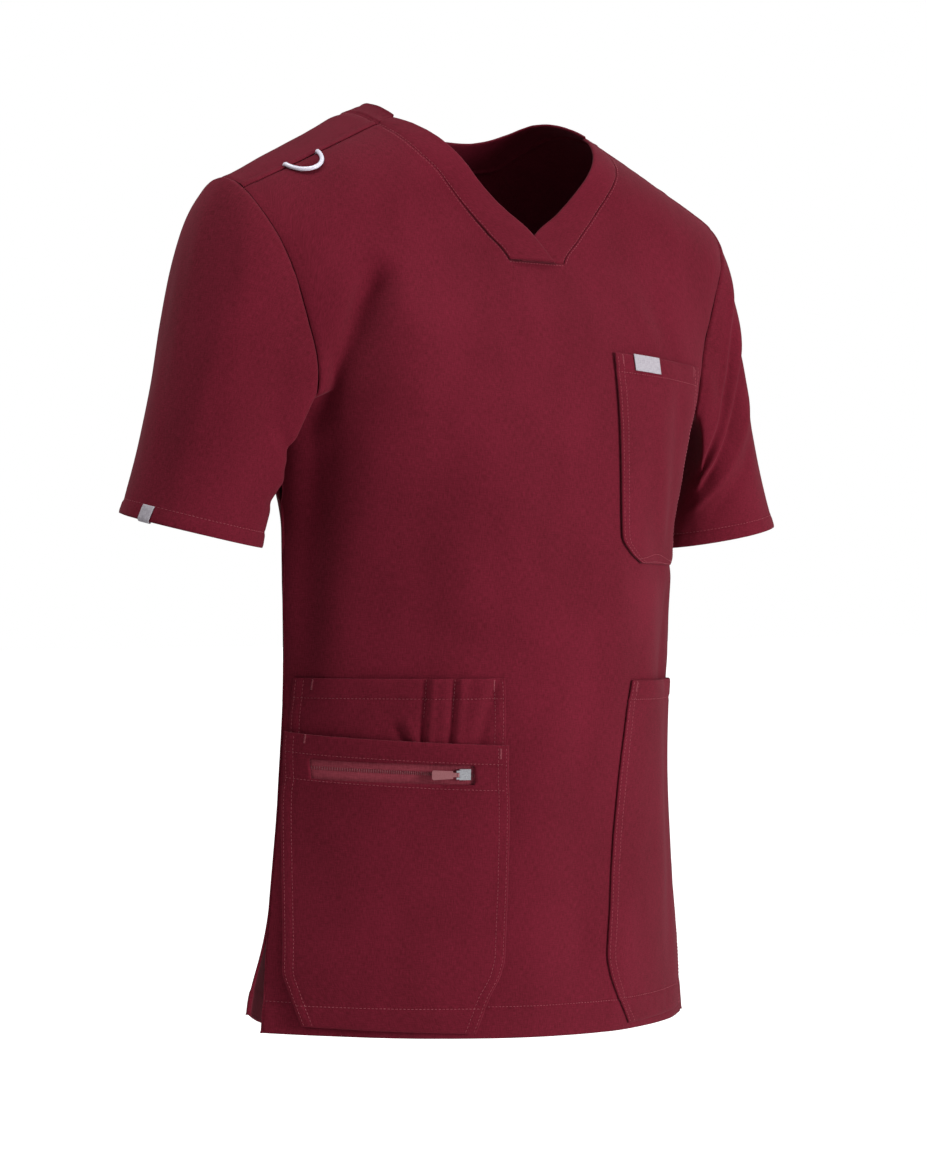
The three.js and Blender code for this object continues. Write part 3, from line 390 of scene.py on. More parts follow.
def sew_column(p, n, inset, rows, start=None, **kw):
    """Stitches up the grid, inset from its first column, or from its last if inset is negative."""
    rows = np.arange(*rows)
    columns = []
    for i in rows:
        s = np.concatenate([[0], np.cumsum(np.linalg.norm(np.diff(p[i], axis=0), axis=1))])
        origin = (0 if inset >= 0 else s[-1]) if start is None else s[start]
        columns.append(np.interp(origin + inset, s, np.arange(len(s))))
    columns = np.array(columns)
    dashes(sample(p, rows.astype(float), columns), sample(n, rows.astype(float), columns), **kw)


# ---------------------------------------------------------------- materials
WEAVE_FROM, WEAVE_TO = 0.45, 0.8  # the weave's values that become its darkest and lightest thread


def srgb(red, green, blue):
    """The linear colour of an sRGB one given from 0 to 255."""
    return tuple(((c / 255 + 0.055) / 1.055) ** 2.4 if c > 10 else c / 255 / 12.92
                 for c in (red, green, blue)) + (1,)


def new_material(name):
    material = bpy.data.materials.new(name)
    material.use_nodes = True
    tree = material.node_tree
    return material, tree.nodes, tree.links, tree.nodes["Principled BSDF"]


def set_inputs(node, values):
    for socket, value in values.items():
        node.inputs[socket].default_value = value


def new_node(nodes, kind, values={}):
    node = nodes.new("ShaderNode" + kind)
    set_inputs(node, values)
    return node


def blended(nodes, links, fraction, dark, light):
    """A colour between dark and light, at the fraction."""
    blend = new_node(nodes, "Mix")
    blend.data_type = "RGBA"
    set_inputs(blend, {6: dark, 7: light})
    links.new(fraction, blend.inputs[0])
    return blend.outputs[2]


def woven(name, dark, light, fine=1.0, sheen=0.06, bump=0.35):
    """Plain-woven cloth: slubby threads both ways, a slow unevenness of dye, and a soft sheen."""
    material, nodes, links, shader = new_material(name)
    uv = new_node(nodes, "UVMap")
    uv.uv_map = "cloth"

    def threads(across, along, detail):
        mapping = new_node(nodes, "Mapping", {"Scale": (across * fine, along * fine, 1)})
        noise = new_node(nodes, "TexNoise", {"Scale": 1, "Detail": detail, "Roughness": 0.6})
        links.new(uv.outputs["UV"], mapping.inputs["Vector"])
        links.new(mapping.outputs["Vector"], noise.inputs["Vector"])
        return noise.outputs["Fac"]

    def math_node(kind, a, b):
        node = new_node(nodes, "Math")
        node.operation = kind
        for socket, value in zip(node.inputs, (a, b)):
            if isinstance(value, (int, float)):
                socket.default_value = value
            else:
                links.new(value, socket)
        return node.outputs[0]

    warp, weft = threads(1500, 190, 3), threads(210, 1300, 3)
    weave = math_node("ADD", math_node("MULTIPLY", warp, 0.55), math_node("MULTIPLY", weft, 0.45))
    slow = threads(14, 9, 2)
    shade = math_node("ADD", math_node("MULTIPLY", weave, 1.0),
                      math_node("MULTIPLY", slow, 0.25))
    ramp = new_node(nodes, "MapRange", {"From Min": WEAVE_FROM, "From Max": WEAVE_TO})
    links.new(shade, ramp.inputs["Value"])
    links.new(blended(nodes, links, ramp.outputs["Result"], dark, light), shader.inputs["Base Color"])
    relief_node = new_node(nodes, "Bump", {"Strength": bump, "Distance": 0.0004})
    links.new(weave, relief_node.inputs["Height"])
    links.new(relief_node.outputs["Normal"], shader.inputs["Normal"])
    set_inputs(shader, {"Roughness": 0.9, "Specular IOR Level": 0.12, "Sheen Weight": sheen,
                        "Sheen Roughness": 0.45, "Sheen Tint": (1, 0.5, 0.55, 1)})
    return material


def moulded(name, dark, light, metal=0.0, rough=0.35, coat=0.0):
    """A smooth hard surface, a little uneven in colour and polish."""
    material, nodes, links, shader = new_material(name)
    place = new_node(nodes, "TexCoord")
    noise = new_node(nodes, "TexNoise", {"Scale": 900, "Detail": 3})
    links.new(place.outputs["Object"], noise.inputs["Vector"])
    links.new(blended(nodes, links, noise.outputs["Fac"], dark, light), shader.inputs["Base Color"])
    spread = new_node(nodes, "MapRange", {"To Min": rough * 0.8, "To Max": rough * 1.2})
    links.new(noise.outputs["Fac"], spread.inputs["Value"])
    links.new(spread.outputs["Result"], shader.inputs["Roughness"])
    set_inputs(shader, {"Metallic": metal, "Coat Weight": coat})
    return material


DARK, LIGHT = srgb(73, 7, 20), srgb(104, 20, 39)
cloth = woven("scrub_cloth", DARK, LIGHT)
tape_cloth = woven("zip_tape", srgb(104, 34, 46), srgb(140, 58, 70), fine=0.8, sheen=0.2, bump=0.4)
label_cloth = woven("label_tape", srgb(132, 127, 134), srgb(172, 167, 174), fine=1.2, sheen=0.1)
thread_cloth = woven("thread", srgb(118, 48, 58), srgb(146, 72, 82), fine=2, sheen=0.3)
tooth_plastic = moulded("zip_coil", srgb(96, 33, 43), srgb(126, 52, 62), rough=0.5)
ring_plastic = moulded("ring_plastic", srgb(196, 192, 208), srgb(222, 220, 232), rough=0.28, coat=0.2)
silver = moulded("slider_metal", srgb(176, 176, 182), srgb(214, 214, 220), metal=1.0, rough=0.28)
tab_plastic = moulded("pull_plastic", srgb(116, 62, 68), srgb(142, 84, 88), rough=0.45)


# ---------------------------------------------------------------- panels
def row_table(face, upper, shoulder):
    table = []
    for z in BODY_ROWS:
        end = float(half(z))
        table.append((14, length_at(14, z) - ridge(14), end, length_at(end, z) - ridge(end), 1))
    for x, z, arm_x, arm_z in upper:
        arm_x = float(half(ARMPIT_Z)) if arm_z == ARMPIT_Z else arm_x
        table.append((x, length_at(x, z) - ridge(x), arm_x, length_at(arm_x, arm_z) - ridge(arm_x),
                      smooth((-100 - arm_z) / 140)))
    for x, h, arm_x, arm_h in shoulder:
        table.append((x, face * h - ridge(x), arm_x, face * arm_h - ridge(arm_x), 0))
    return np.array(table, float)


def fine_rows(table, cell=CELL):
    """Row positions, in steps of about one cell, with every row of the table among them."""
    where = [0.0]
    for k in range(len(table) - 1):
        step = table[k + 1] - table[k]
        size = np.max(np.hypot(step[0::2][:2], step[1::2][:2]))
        steps = max(1, round(size / cell))
        where += [k + (s + 1) / steps for s in range(steps)]
    return np.array(where)


def with_rims(lines, first=0.25, last=0.25):
    """Adds a narrow cell at each end, where the cloth's edge rounds over."""
    return np.concatenate([lines[:1], [mix(lines[0], lines[1], first)], lines[1:-1],
                           [mix(lines[-1], lines[-2], last)], lines[-1:]])


SIDE_COLUMNS = with_rims(np.linspace(0, 1, 74))
CENTRE_COLUMNS = np.linspace(-1, 1, 11)[1:-1]


def panel(face, upper, shoulder, neck_row):
    table = row_table(face, upper, shoulder)
    where = with_rims(fine_rows(table))
    index = np.arange(len(table))
    sx, sl, ex, el, rnd = (monotone(index, table[:, k])(where)[:, None] for k in range(5))
    t = SIDE_COLUMNS[None, :]
    spread = mix(t, np.sin(t * math.pi / 2), rnd)
    x, level = mix(sx, ex, spread), mix(sl, el, spread)
    middle = sx * CENTRE_COLUMNS[None, :]
    x = np.concatenate([-x[:, ::-1], middle, x], 1)
    level = np.concatenate([level[:, ::-1], np.repeat(sl, len(CENTRE_COLUMNS), 1), level], 1)
    h = face * (ridge(x) + level)
    h[-1] += face * SEAM / 2
    z = height_at(x, h)
    p = swing(form(x, h), x, z, face)
    armpit = int(np.argmin(np.abs(where - len(BODY_ROWS))))
    neck = int(np.argmin(np.abs(where - (len(BODY_ROWS) + neck_row))))
    p[:armpit + 1, [0, -1], 1] -= face * SEAM / 2
    flat = grid_normals(p) * face
    flat[:, 0], flat[:, -1] = unit(flat[:, 0] * (1, 0.15, 0.15)), unit(flat[:, -1] * (1, 0.15, 0.15))
    blend = smooth((z + 262) / 24)[..., None]
    normal = unit(mix(flat, form_normal(x, h), blend))
    across, up = arc_lengths(p)
    first, last = len(SIDE_COLUMNS) - 1, len(SIDE_COLUMNS) - 1 + len(CENTRE_COLUMNS) + 1
    to_arm = np.minimum(across, across[:, -1:] - across)
    to_neck = np.where(np.arange(x.shape[1])[None, :] <= first, across[:, first:first + 1] - across,
                       across - across[:, last:last + 1])
    to_neck = np.where((np.arange(len(p)) >= neck)[:, None], np.maximum(to_neck, 0), 99)
    below = neck - 1 - np.arange(neck)
    centre = slice(first, last + 1)
    to_neck[:neck, centre] = np.minimum(to_neck[:neck, centre], (up[neck, centre] - up[:neck, centre]))
    to_top = up[-1:] - up
    fade = smooth(to_arm / 14) * smooth(to_neck / 9) * smooth(to_top / 9)
    away = relief(x, z, face) * np.where(z < ARMPIT_Z, smooth(to_neck / 9), fade) + hem_relief(x, z)
    arm = np.where(z > ARMPIT_Z, to_arm, 99)
    pucker = uneven(up / 6 + 3, to_arm / 12, 21 + face)
    away += (-0.5 * bell(arm, 1.6) + 0.25 * pucker * bell(arm, 7)
             + 0.2 * uneven(up / 5, across / 9, 30) * bell(to_neck, 6) - 0.35 * bell(to_neck, 1.5))
    if face < 0:
        lap = np.where(np.abs(x) > 96, smooth((7 - to_top) / 1.5), 0)
        away += (0.9 * lap - 0.7 * bell(to_top, 1.1)
                 + 0.25 * uneven(x / 7, to_top / 9, 33) * smooth((12 - to_top) / 12))
    else:
        away += (-0.8 * bell(to_top, 1.6)
                 + 0.25 * uneven(x / 7 + 7, to_top / 9, 35) * smooth((14 - to_top) / 14))
    shaped = p + normal * away[..., None]
    keep = np.ones((len(p) - 1, p.shape[1] - 1), bool)
    keep[neck:, first:last] = False
    thick = np.where(z - HEM_Z < HEM_WIDTH, HEM_PLY, CLOTH)
    name = "front" if face > 0 else "back"
    uv = np.stack([across - across[:, (first + last) // 2][:, None] + 500, up], -1)
    obj = shell(name, shaped, normal, thick, cloth, keep, uv=uv)
    return {"p": shaped, "n": normal, "neck": neck, "armpit": armpit, "first": first, "last": last,
            "where": where, "obj": obj, "base": p}


front = panel(1, FRONT_ROWS, FRONT_SEAM, V_ROW)
back = panel(-1, BACK_ROWS, BACK_YOKE, NAPE_ROW)
for one in (front, back):
    total = one["p"].shape[1]
    sew_row(one["p"], one["n"], HEM_WIDTH + 0.2, (2, total - 2))
front_rows = len(front["p"])
for start, inset in ((front["first"], -1.6), (front["last"], 1.6)):
    sew_column(front["p"], front["n"], inset, (front["neck"], front_rows - 3), start=start, pitch=2.9)
for start, inset in ((back["first"], -1.6), (back["last"], 1.6)):
    sew_column(back["p"], back["n"], inset, (back["neck"], len(back["p"]) - 3), start=start, pitch=2.9)


# ---------------------------------------------------------------- sleeves
# turn, share down, turn, share down, how proud, width in turns
SLEEVE_CREASES = {
    -1: [(0.9, 0.1, 1.5, 0.6, -1.6, 0.16), (0.2, 0.30, 1.1, 0.52, -3.4, 0.12),
         (0.1, 0.44, 0.9, 0.66, 2.6, 0.12), (0.1, 0.62, 0.9, 0.78, -2.6, 0.1),
         (2.3, 0.2, 2.5, 0.85, 1.2, 0.2), (3.3, 0.1, 3.5, 0.7, -1.2, 0.2),
         (4.3, 0.15, 4.0, 0.7, -2.4, 0.2), (5.9, 0.2, 4.9, 0.6, -3.0, 0.17),
         (6.0, 0.45, 5.2, 0.85, 2.0, 0.16)],
    1: [(0.6, 0.50, 2.3, 0.26, -3.6, 0.13), (0.7, 0.62, 2.4, 0.43, -3.8, 0.12),
        (0.8, 0.56, 2.4, 0.36, 2.6, 0.13), (0.6, 0.74, 2.2, 0.58, 2.8, 0.12),
        (1.0, 0.42, 2.5, 0.18, 2.2, 0.15), (1.0, 0.82, 2.0, 0.70, -1.8, 0.12),
        (3.3, 0.1, 3.5, 0.7, -1.4, 0.2), (4.3, 0.15, 4.0, 0.7, -2.4, 0.2),
        (5.9, 0.25, 4.8, 0.6, -3.0, 0.17)]}


def cuff_point(sign, turn):
    x = sign * ((CUFF[0] - (LEFT_IN if sign > 0 else 0)) - CUFF_ACROSS * np.cos(turn))
    tilt = RIGHT_TILT if sign < 0 else 0
    z = CUFF[2] - CUFF_DROP * np.cos(turn) - tilt * np.sin(turn)
    return np.stack([x, CUFF[1] - CUFF_DEEP * np.sin(turn), z], -1)


def sleeve(sign):
    """One closed ring of rows from the cuff up to the armhole, sewn to both panels there."""
    def edge(one, rows):
        j = -1 if sign > 0 else 0
        return one["base"][rows, j], one["n"][rows, j]

    pf, nf = edge(front, slice(front["armpit"], None))
    pb, nb = edge(back, slice(back["armpit"], None))
    chain = np.concatenate([[(pf[0] + pb[0]) / 2], pf[1:-1], [(pf[-1] + pb[-1]) / 2], pb[-2:0:-1]])
    facing = np.concatenate([[nf[0] + nb[0]], nf[1:-1], [nf[-1] + nb[-1]], nb[-2:0:-1]])
    gaps = np.linalg.norm(np.roll(chain, -1, 0) - chain, axis=1)
    s = np.concatenate([[0], np.cumsum(gaps)])
    even = np.linspace(0, s[-1], 145)[:-1]
    wrapped, wrapped_n = np.vstack([chain, chain[:1]]), np.vstack([facing, facing[:1]])
    p, n = between(even, s, wrapped), unit(between(even, s, wrapped_n))
    for _ in range(3):
        n = unit(np.roll(n, 1, 0) + 2 * n + np.roll(n, -1, 0))
    out = unit(np.cross(np.roll(p, -1, 0) - np.roll(p, 1, 0), n) * sign)
    turn = even / s[-1] * 2 * math.pi
    high = ((1 - np.cos(turn)) / 2)[:, None]
    start = p + out * mix(ARMPIT_GAP, SEAM, np.minimum(1, 5 * high))
    end = cuff_point(sign, turn)
    leave = np.concatenate([sign * mix(*HEAD_OUT, high), 0 * high, -mix(*FALL[sign], high)], 1)
    leave = unit(leave + n * mix(*HEAD_PROUD, np.clip(0.5 - np.sin(turn), 0, 1))[:, None])
    axis = unit(np.array([sign * 226, 8, -110]) - np.array([sign * CUFF[0], CUFF[1], CUFF[2]]))
    reach = np.linalg.norm(end - start, axis=1, keepdims=True)
    first = start + leave * mix(*HEAD_REACH[sign], high) * reach
    arrive = mix(axis[None, :], unit(first - end), STRAIGHT * high)
    arrive[:, 0] -= sign * FLARE * high[:, 0]
    arrive = unit(arrive)
    last = end + arrive * CUFF_REACH * reach
    share = np.concatenate([[0, 0.004], np.linspace(0, 1, 96)[1:-1], [0.996, 1]])[:, None, None]
    grid = ((1 - share) ** 3 * start + 3 * share * (1 - share) ** 2 * first
            + 3 * share ** 2 * (1 - share) * last + share ** 3 * end)[::-1]
    share = share[::-1, :, 0]
    normal = grid_normals(grid, loop=True) * sign
    top = normal[-1]
    top -= out * np.maximum(0, np.sum(top * out, 1, keepdims=True))
    normal[-1] = unit(top)
    normal[-2] = unit(normal[-2] + normal[-1])
    _, up = arc_lengths(grid)
    down = up[-1:] - up
    angle = np.broadcast_to(turn, share.shape[:1] + turn.shape)
    away = sum(crease(angle, share * 3, (t1, s1 * 3, t2, s2 * 3, 0, proud, width))
               for t1, s1, t2, s2, proud, width in SLEEVE_CREASES[sign])
    seed = 50 + sign
    ring = np.stack([np.cos(angle), np.sin(angle)], -1)
    away = away + 1.3 * uneven(ring[..., 0] * 1.6 + 20, ring[..., 1] * 1.6 + up / 90 + 20, seed)
    away = away + 0.45 * uneven(ring[..., 0] * 5 + 20, ring[..., 1] * 5 + up / 40 + 20, seed + 2)
    away = away * smooth(down / 16) * mix(0.35, 1, smooth((up - 4) / 60))
    pucker = uneven(angle * 9, down / 9, seed + 4)
    away = away + 0.35 * pucker * bell(down, 8) + 0.5 * bell(down - 3, 3) - 0.6 * bell(down, 1.5)
    away = away + (0.5 * smooth((12.8 - up) / 1.6) - 0.55 * bell(up - 12, 1.3)
                   + 0.3 * uneven(angle * 10, up / 14, 61) * bell(up - 12, 8) - 0.5 * bell(up, 1.2))
    shaped = grid + normal * away[..., None]
    thick = np.where(up < 13, HEM_PLY, CLOTH)
    across, _ = arc_lengths(grid)
    uv = np.stack([np.broadcast_to(angle * 62, up.shape), up], -1)
    obj = shell("sleeve_r" if sign < 0 else "sleeve_l", shaped, normal, thick, cloth, loop=True, uv=uv)
    closed, closed_n = (np.concatenate([a, a[:, :1]], 1) for a in (shaped, normal))
    sew_row(closed, closed_n, 12.2, (0, closed.shape[1]))
    return {"p": closed, "n": closed_n, "obj": obj, "turn": turn}


sleeves = {-1: sleeve(-1), 1: sleeve(1)}


# ---------------------------------------------------------------- neck bands
BAND_LINES = np.concatenate([[0, 0.03], np.linspace(0, 1, 13)[1:-1], [0.97, 1]])


def band(name, seam_p, seam_n, start, end, face, lift, flip, up=0):
    """start and end are (x, h) arrays along the seam and along the free edge."""
    t = BAND_LINES[None, :]
    x = mix(start[0][:, None], end[0][:, None], t)
    if face > 0:
        level = mix((start[1] - ridge(start[0]))[:, None], (end[1] - ridge(end[0]))[:, None], t)
        h = ridge(x) + level
    else:
        h = mix(start[1][:, None], end[1][:, None], t)
    p = form(x, h)
    toward = unit(p[:, 4] - seam_p)
    width = np.linalg.norm(p[:, -1] - p[:, 0], axis=1)
    blend = smooth(1 - t / 0.35)[..., None]
    p = p + (seam_p + toward * SEAM - p[:, 0])[:, None] * blend
    normal = grid_normals(p)
    if flip:
        normal = -normal
    normal = unit(mix(normal, seam_n[:, None], blend * 0.7))
    across, along = arc_lengths(p)
    to_edge = across[:, -1:] - across
    away = lift[:, None] + 0.7 * np.sin(math.pi * t) + 0.2 * uneven(along / 7, across / 12, 71)
    away = away - 0.6 * bell(across, 1.4) - 0.7 * bell(to_edge, 1.0) + 0.35 * bell(to_edge - 2, 2)
    shaped = p + normal * away[..., None]
    obj = shell(name, shaped, normal, CLOTH * 1.15, cloth, uv=np.stack([along, across], -1))
    return {"p": shaped, "n": normal, "obj": obj}


def front_band(sign):
    neck = front["neck"]
    where = front["where"][neck:] - (len(BODY_ROWS) + V_ROW)
    column = front["last"] if sign > 0 else front["first"]
    starts = [(x, length_at(x, z)) for x, z, _, _ in FRONT_ROWS[V_ROW:]] + [FRONT_SEAM[0][:2]]
    ends = [(x, length_at(x, z)) for x, z in FRONT_BAND_EDGE] + [BAND_END]
    levels = [(x, h - ridge(x)) for x, h in starts], [(x, h - ridge(x)) for x, h in ends]
    index = np.arange(len(starts))
    sx, sl = (monotone(index, [row[k] for row in levels[0]])(where) for k in (0, 1))
    ex, el = (monotone(index, [row[k] for row in levels[1]])(where) for k in (0, 1))
    lift = LAP_LIFT * monotone(index, LAP)(where) if sign < 0 else 0 * where
    return band("band_r" if sign < 0 else "band_l", front["p"][neck:, column], front["n"][neck:, column],
                (sign * sx, sl + ridge(sx)), (sign * ex, el + ridge(ex)), 1, lift, sign > 0)


def back_band():
    neck, where = back["neck"], back["where"]
    yoke = where[back["neck"]:] - (len(BODY_ROWS) + NAPE_ROW) + 1
    centre = np.array([0, *CENTRE_COLUMNS[CENTRE_COLUMNS > 0.01]])
    q = np.concatenate([centre, yoke])
    start = [(0, -86)] + [row[:2] for row in BACK_YOKE]
    end = [*BACK_BAND_EDGE, BAND_END]
    index = np.arange(len(start))
    sx, sh = (monotone(index, [row[k] for row in start])(q) for k in (0, 1))
    ex, eh = (monotone(index, [row[k] for row in end])(q) for k in (0, 1))
    middle = (back["first"] + back["last"]) // 2
    count = len(centre)

    def seam(source, sign):
        across = source[neck, middle:middle + count] if sign > 0 else source[neck, middle:middle - count:-1]
        up = source[neck:, back["last"] if sign > 0 else back["first"]]
        return np.concatenate([across, up])
    both = [np.concatenate([seam(back[k], -1)[:0:-1], seam(back[k], 1)]) for k in ("p", "n")]
    mirror = [np.concatenate([-a[:0:-1], a]) for a in (sx, ex)]
    same = [np.concatenate([a[:0:-1], a]) for a in (sh, eh)]
    return band("band_back", both[0], both[1], (mirror[0], same[0]), (mirror[1], same[1]), -1,
                np.zeros(2 * len(q) - 1), True)


bands = [front_band(-1), front_band(1), back_band()]
cols = np.arange(front["first"] - 1, front["last"] + 2)
_, front_up = arc_lengths(front["p"])
rows_v = np.array([np.interp(front_up[front["neck"], j] - 1.8, front_up[:, j], np.arange(front_rows))
                   for j in cols])
sew(front, rows_v, cols, pitch=2.9)
for one in bands[:2]:
    total = len(one["p"])
    sew_row(one["p"].transpose(1, 0, 2), one["n"].transpose(1, 0, 2), 1.4, (1, total - 1),
            pitch=3.0, height=0.2)


# ---------------------------------------------------------------- patches
def patch(name, table, side, lift, ply=CLOTH, material=cloth, breaks=(0, 1), keep=None, puff=0.0, hem=16,
          double=True, mouth=0.0, creases=(), flat=False, cell=2.4):
    table = np.array(table[::-1], float)
    where = [0.0]
    for k in range(len(table) - 1):
        steps = max(1, round(abs(table[k + 1, 0] - table[k, 0]) / cell))
        where += [k + (s + 1) / steps for s in range(steps)]
    where = with_rims(np.array(where), 0.3, 0.3)
    index = np.arange(len(table))
    z0, inner, outer, drop = (monotone(index, table[:, k])(where)[:, None] for k in range(4))
    t = []
    for a, b in zip(breaks, breaks[1:]):
        steps = max(1, round((b - a) * (table[0, 2] - table[0, 1]) * 1.25 / cell))
        t += list(np.linspace(a, b, steps + 1)[:-1])
    t = with_rims(np.array([*t, 1.0]), 0.3, 0.3)[None, :]
    begin, finish = np.arcsin(np.minimum(inner / half(z0), 1)), np.arcsin(np.minimum(outer / half(z0), 1))
    x = side * np.sin(mix(begin, finish, t)) * half(z0)
    z = z0 - drop * t
    if side < 0:
        x, z = x[:, ::-1], z[:, ::-1]
    h = length_at(x, z)
    p = swing(form(x, h), x, z, 1)
    normal = form_normal(x, h)
    across, up = arc_lengths(p)
    to_top, to_side = up[-1:] - up, np.minimum(across, across[:, -1:] - across)
    away = relief(x, z, 1) + hem_relief(x, z) + lift + ply
    if not flat:
        middle = np.maximum(np.sin(math.pi * across / across[:, -1:]), 0)
        rise = np.maximum(np.sin(math.pi * np.clip(up / up[-1:], 0, 1)), 0)
        away = away + puff * middle * rise ** 0.6 + mouth * middle ** 1.5 * bell(to_top, 22)
        for x1, z1, x2, z2, bow, proud, width in creases:
            away = away + crease(x, z, (x1, z1, x2, z2, bow, proud, width))
        away = away - 0.32 * bell(to_side - 2.3, 1.0)
        if double:
            away = away - 0.45 * bell(to_side - 9, 1.4) + 0.25 * smooth((10 - to_side) / 2)
            away = away + 0.28 * uneven(up / 6, to_side / 8, 80) * bell(to_side - 8, 7)
        if hem:
            away = away - 0.5 * bell(to_top - hem, 1.2) + 0.3 * smooth((hem - to_top) / 1.5)
            away = away + 0.22 * uneven(across / 6, to_top / 9, 84) * bell(to_top - hem, 8)
    to_rim = np.minimum(np.minimum(to_top, to_side), up)
    away = away - min(0.55, ply * 0.6) * bell(to_rim, 0.9)
    shaped = p + normal * away[..., None]
    kept = None
    if keep is not None:
        centre = np.broadcast_to(((t[0, 1:] + t[0, :-1]) / 2)[None, :], (len(where) - 1, t.shape[1] - 1))
        centre = centre[:, ::-1] if side < 0 else centre
        kept = keep(((where[1:] + where[:-1]) / 2)[:, None] + 0 * centre, centre)
    uv = np.stack([across + 1000 * (side + 2), up - z.min()], -1)
    obj = shell(name, shaped, normal, ply, material, kept, uv=uv)
    return {"p": shaped, "n": normal, "obj": obj, "x": x, "z": z}


def edges_sewn(one):
    for inset in (2.3, 9):
        for sign in (1, -1):
            sew_column(one["p"], one["n"], sign * inset, (1, len(one["p"]) - 1))


def row_sewn(one, height, inset=2, **kw):
    sew_row(one["p"], one["n"], height, (inset, one["p"].shape[1] - inset), **kw)


window = ZIP_POCKET[WINDOW_ROW]
turn_in = math.asin(window[1] / float(half(window[0])))
turn_out = math.asin(window[2] / float(half(window[0])))
slot_in, slot_out = ((math.asin(v / float(half(window[0]))) - turn_in) / (turn_out - turn_in)
                     for v in (WINDOW_IN, WINDOW_OUT))
pen = patch("pen", PEN_POCKET, -1, PEN_LIFT, puff=0.4, mouth=1.2, cell=1.6, creases=[
    (-116, -440, -118, -508, 0, -3.0, 2.0), (-111.5, -440, -113, -508, 1, 2.6, 3.2),
    (-134, -486, -124, -512, 0, -2.2, 2.6), (-128, -480, -118, -512, 0, 1.6, 4),
    (-98, -440, -100, -508, 0, -2.4, 1.8), (-93, -440, -95, -508, 0, 2.0, 3.4),
    (-66, -446, -80, -515, 2, -1.6, 4), (-76, -446, -90, -515, 2, 1.6, 5),
    (-105, -446, -107, -520, 0, 1.4, 3.5), (-146, -446, -150, -500, 0, 1.2, 9),
    (-166, -446, -172, -500, 0, -1.0, 8)])
last_window = len(ZIP_POCKET) - 2 - WINDOW_ROW


def outside_slot(row, t):
    return ~((row > last_window) & (row < last_window + 1) & (t > slot_in) & (t < slot_out))


zip_patch = patch("zip_front", ZIP_POCKET, -1, ZIP_LIFT, breaks=(0, slot_in, slot_out, 1), puff=0.9,
                  mouth=0.8, keep=outside_slot, creases=[
                      (-160, -560, -150, -640, 4, 1.0, 16), (-90, -560, -100, -680, 4, -0.9, 18),
                      (-60, -690, -74, -730, 0, 0.8, 8)])
tape = patch("tape", ZIP_TAPE, -1, TAPE_LIFT, TAPE_PLY, tape_cloth, flat=True)
hip = patch("hip_l", HIP_POCKET, 1, LAY, puff=1.2, mouth=2.2, creases=[
    (120, -470, 138, -640, 4, 1.6, 16), (150, -500, 160, -700, 2, -1.4, 12)])
chest = patch("chest", CHEST_POCKET, 1, 2 * LAY, puff=0.8, mouth=1.8, creases=[
    (112, -230, 116, -345, 3, 1.4, 12), (140, -215, 132, -340, 2, -1.3, 10)])
label = patch("label", LABEL, 1, 3 * LAY + CLOTH + 1.2, LABEL_PLY, label_cloth, flat=True, cell=1.6)
for one in (pen, zip_patch, hip, chest):
    edges_sewn(one)
for one, drops in ((pen, (16,)), (zip_patch, (15.2, 36)), (hip, (16,)), (chest, (16,))):
    for drop in drops:
        row_sewn(one, -drop)
for one in (pen, zip_patch, hip):
    d = one["z"] - HEM_Z
    columns = np.arange(2, one["p"].shape[1] - 2)
    rows = np.array([np.interp(HEM_WIDTH + 0.2, d[:, j], np.arange(len(d))) for j in columns])
    sew(one, rows, columns)
for bottom in (1.8, 8):
    row_sewn(chest, bottom)
for x_at in (-116.5, -98):
    columns = np.array([np.interp(x_at - 2 * k / 40, pen["x"][i], np.arange(pen["x"].shape[1]))
                        for k, i in enumerate(range(len(pen["p"]) - 1, len(pen["p"]) - 24, -1))])
    rows = np.arange(len(pen["p"]) - 1, len(pen["p"]) - 24, -1).astype(float)
    sew(pen, rows, columns)


def bartack(one, x_at, z_at, length=9):
    """A short dense bar of thread down the cloth."""
    j = int(np.argmin(np.abs(one["x"][-1] - x_at)))
    rows = np.interp(z_at - np.arange(0, length, 0.5), one["z"][:, j], np.arange(len(one["z"])))
    sew(one, rows, np.full(len(rows), j), pitch=1.05, length=0.9, width=1.9, height=0.4)


for one, corners in ((pen, ((-70, -450), (-178, -450))), (hip, ((72, -454), (178, -456))),
                     (chest, ((69, -190), (168, -194))), (zip_patch, ((-66, -503), (-181, -492)))):
    for x_at, z_at in corners:
        bartack(one, x_at, z_at)


# ---------------------------------------------------------------- zip coil
def coil():
    """The zip's two rows of coil, as small ribs across the tape."""
    xs = np.arange(-WINDOW_OUT - 2, -WINDOW_IN + 4, 1.3)
    z = -524.5 + 6 * (np.abs(xs) - 78) / 106
    points, faces, count = [], [], 0
    for k, (x, zz) in enumerate(zip(xs, z)):
        h = length_at(x, zz)
        out = form_normal(x, h)
        proud = float(relief(np.array(x), np.array(zz), 1)) + TAPE_LIFT + TAPE_PLY + 0.25
        centre = form(x, h) + out * proud
        up = unit(np.array([0, 0, 1.0]) - out * out[2])
        along = np.cross(up, out)
        for c in (0, 1):
            for a, b in ((-1, -1), (1, -1), (1, 1), (-1, 1)):
                points.append(centre + along * a * 0.42 * (1 - 0.4 * c) + up * b * 1.5 * (1 - 0.25 * c)
                              + out * (c * 0.6 - 0.3))
        for f in ((0, 1, 2, 3), (4, 5, 6, 7), (0, 1, 5, 4), (1, 2, 6, 5), (2, 3, 7, 6), (3, 0, 4, 7)):
            faces.append([count + v for v in f])
        count += 8
    return new_object("coil", mesh_from("coil", np.array(points), np.array(faces)), tooth_plastic)


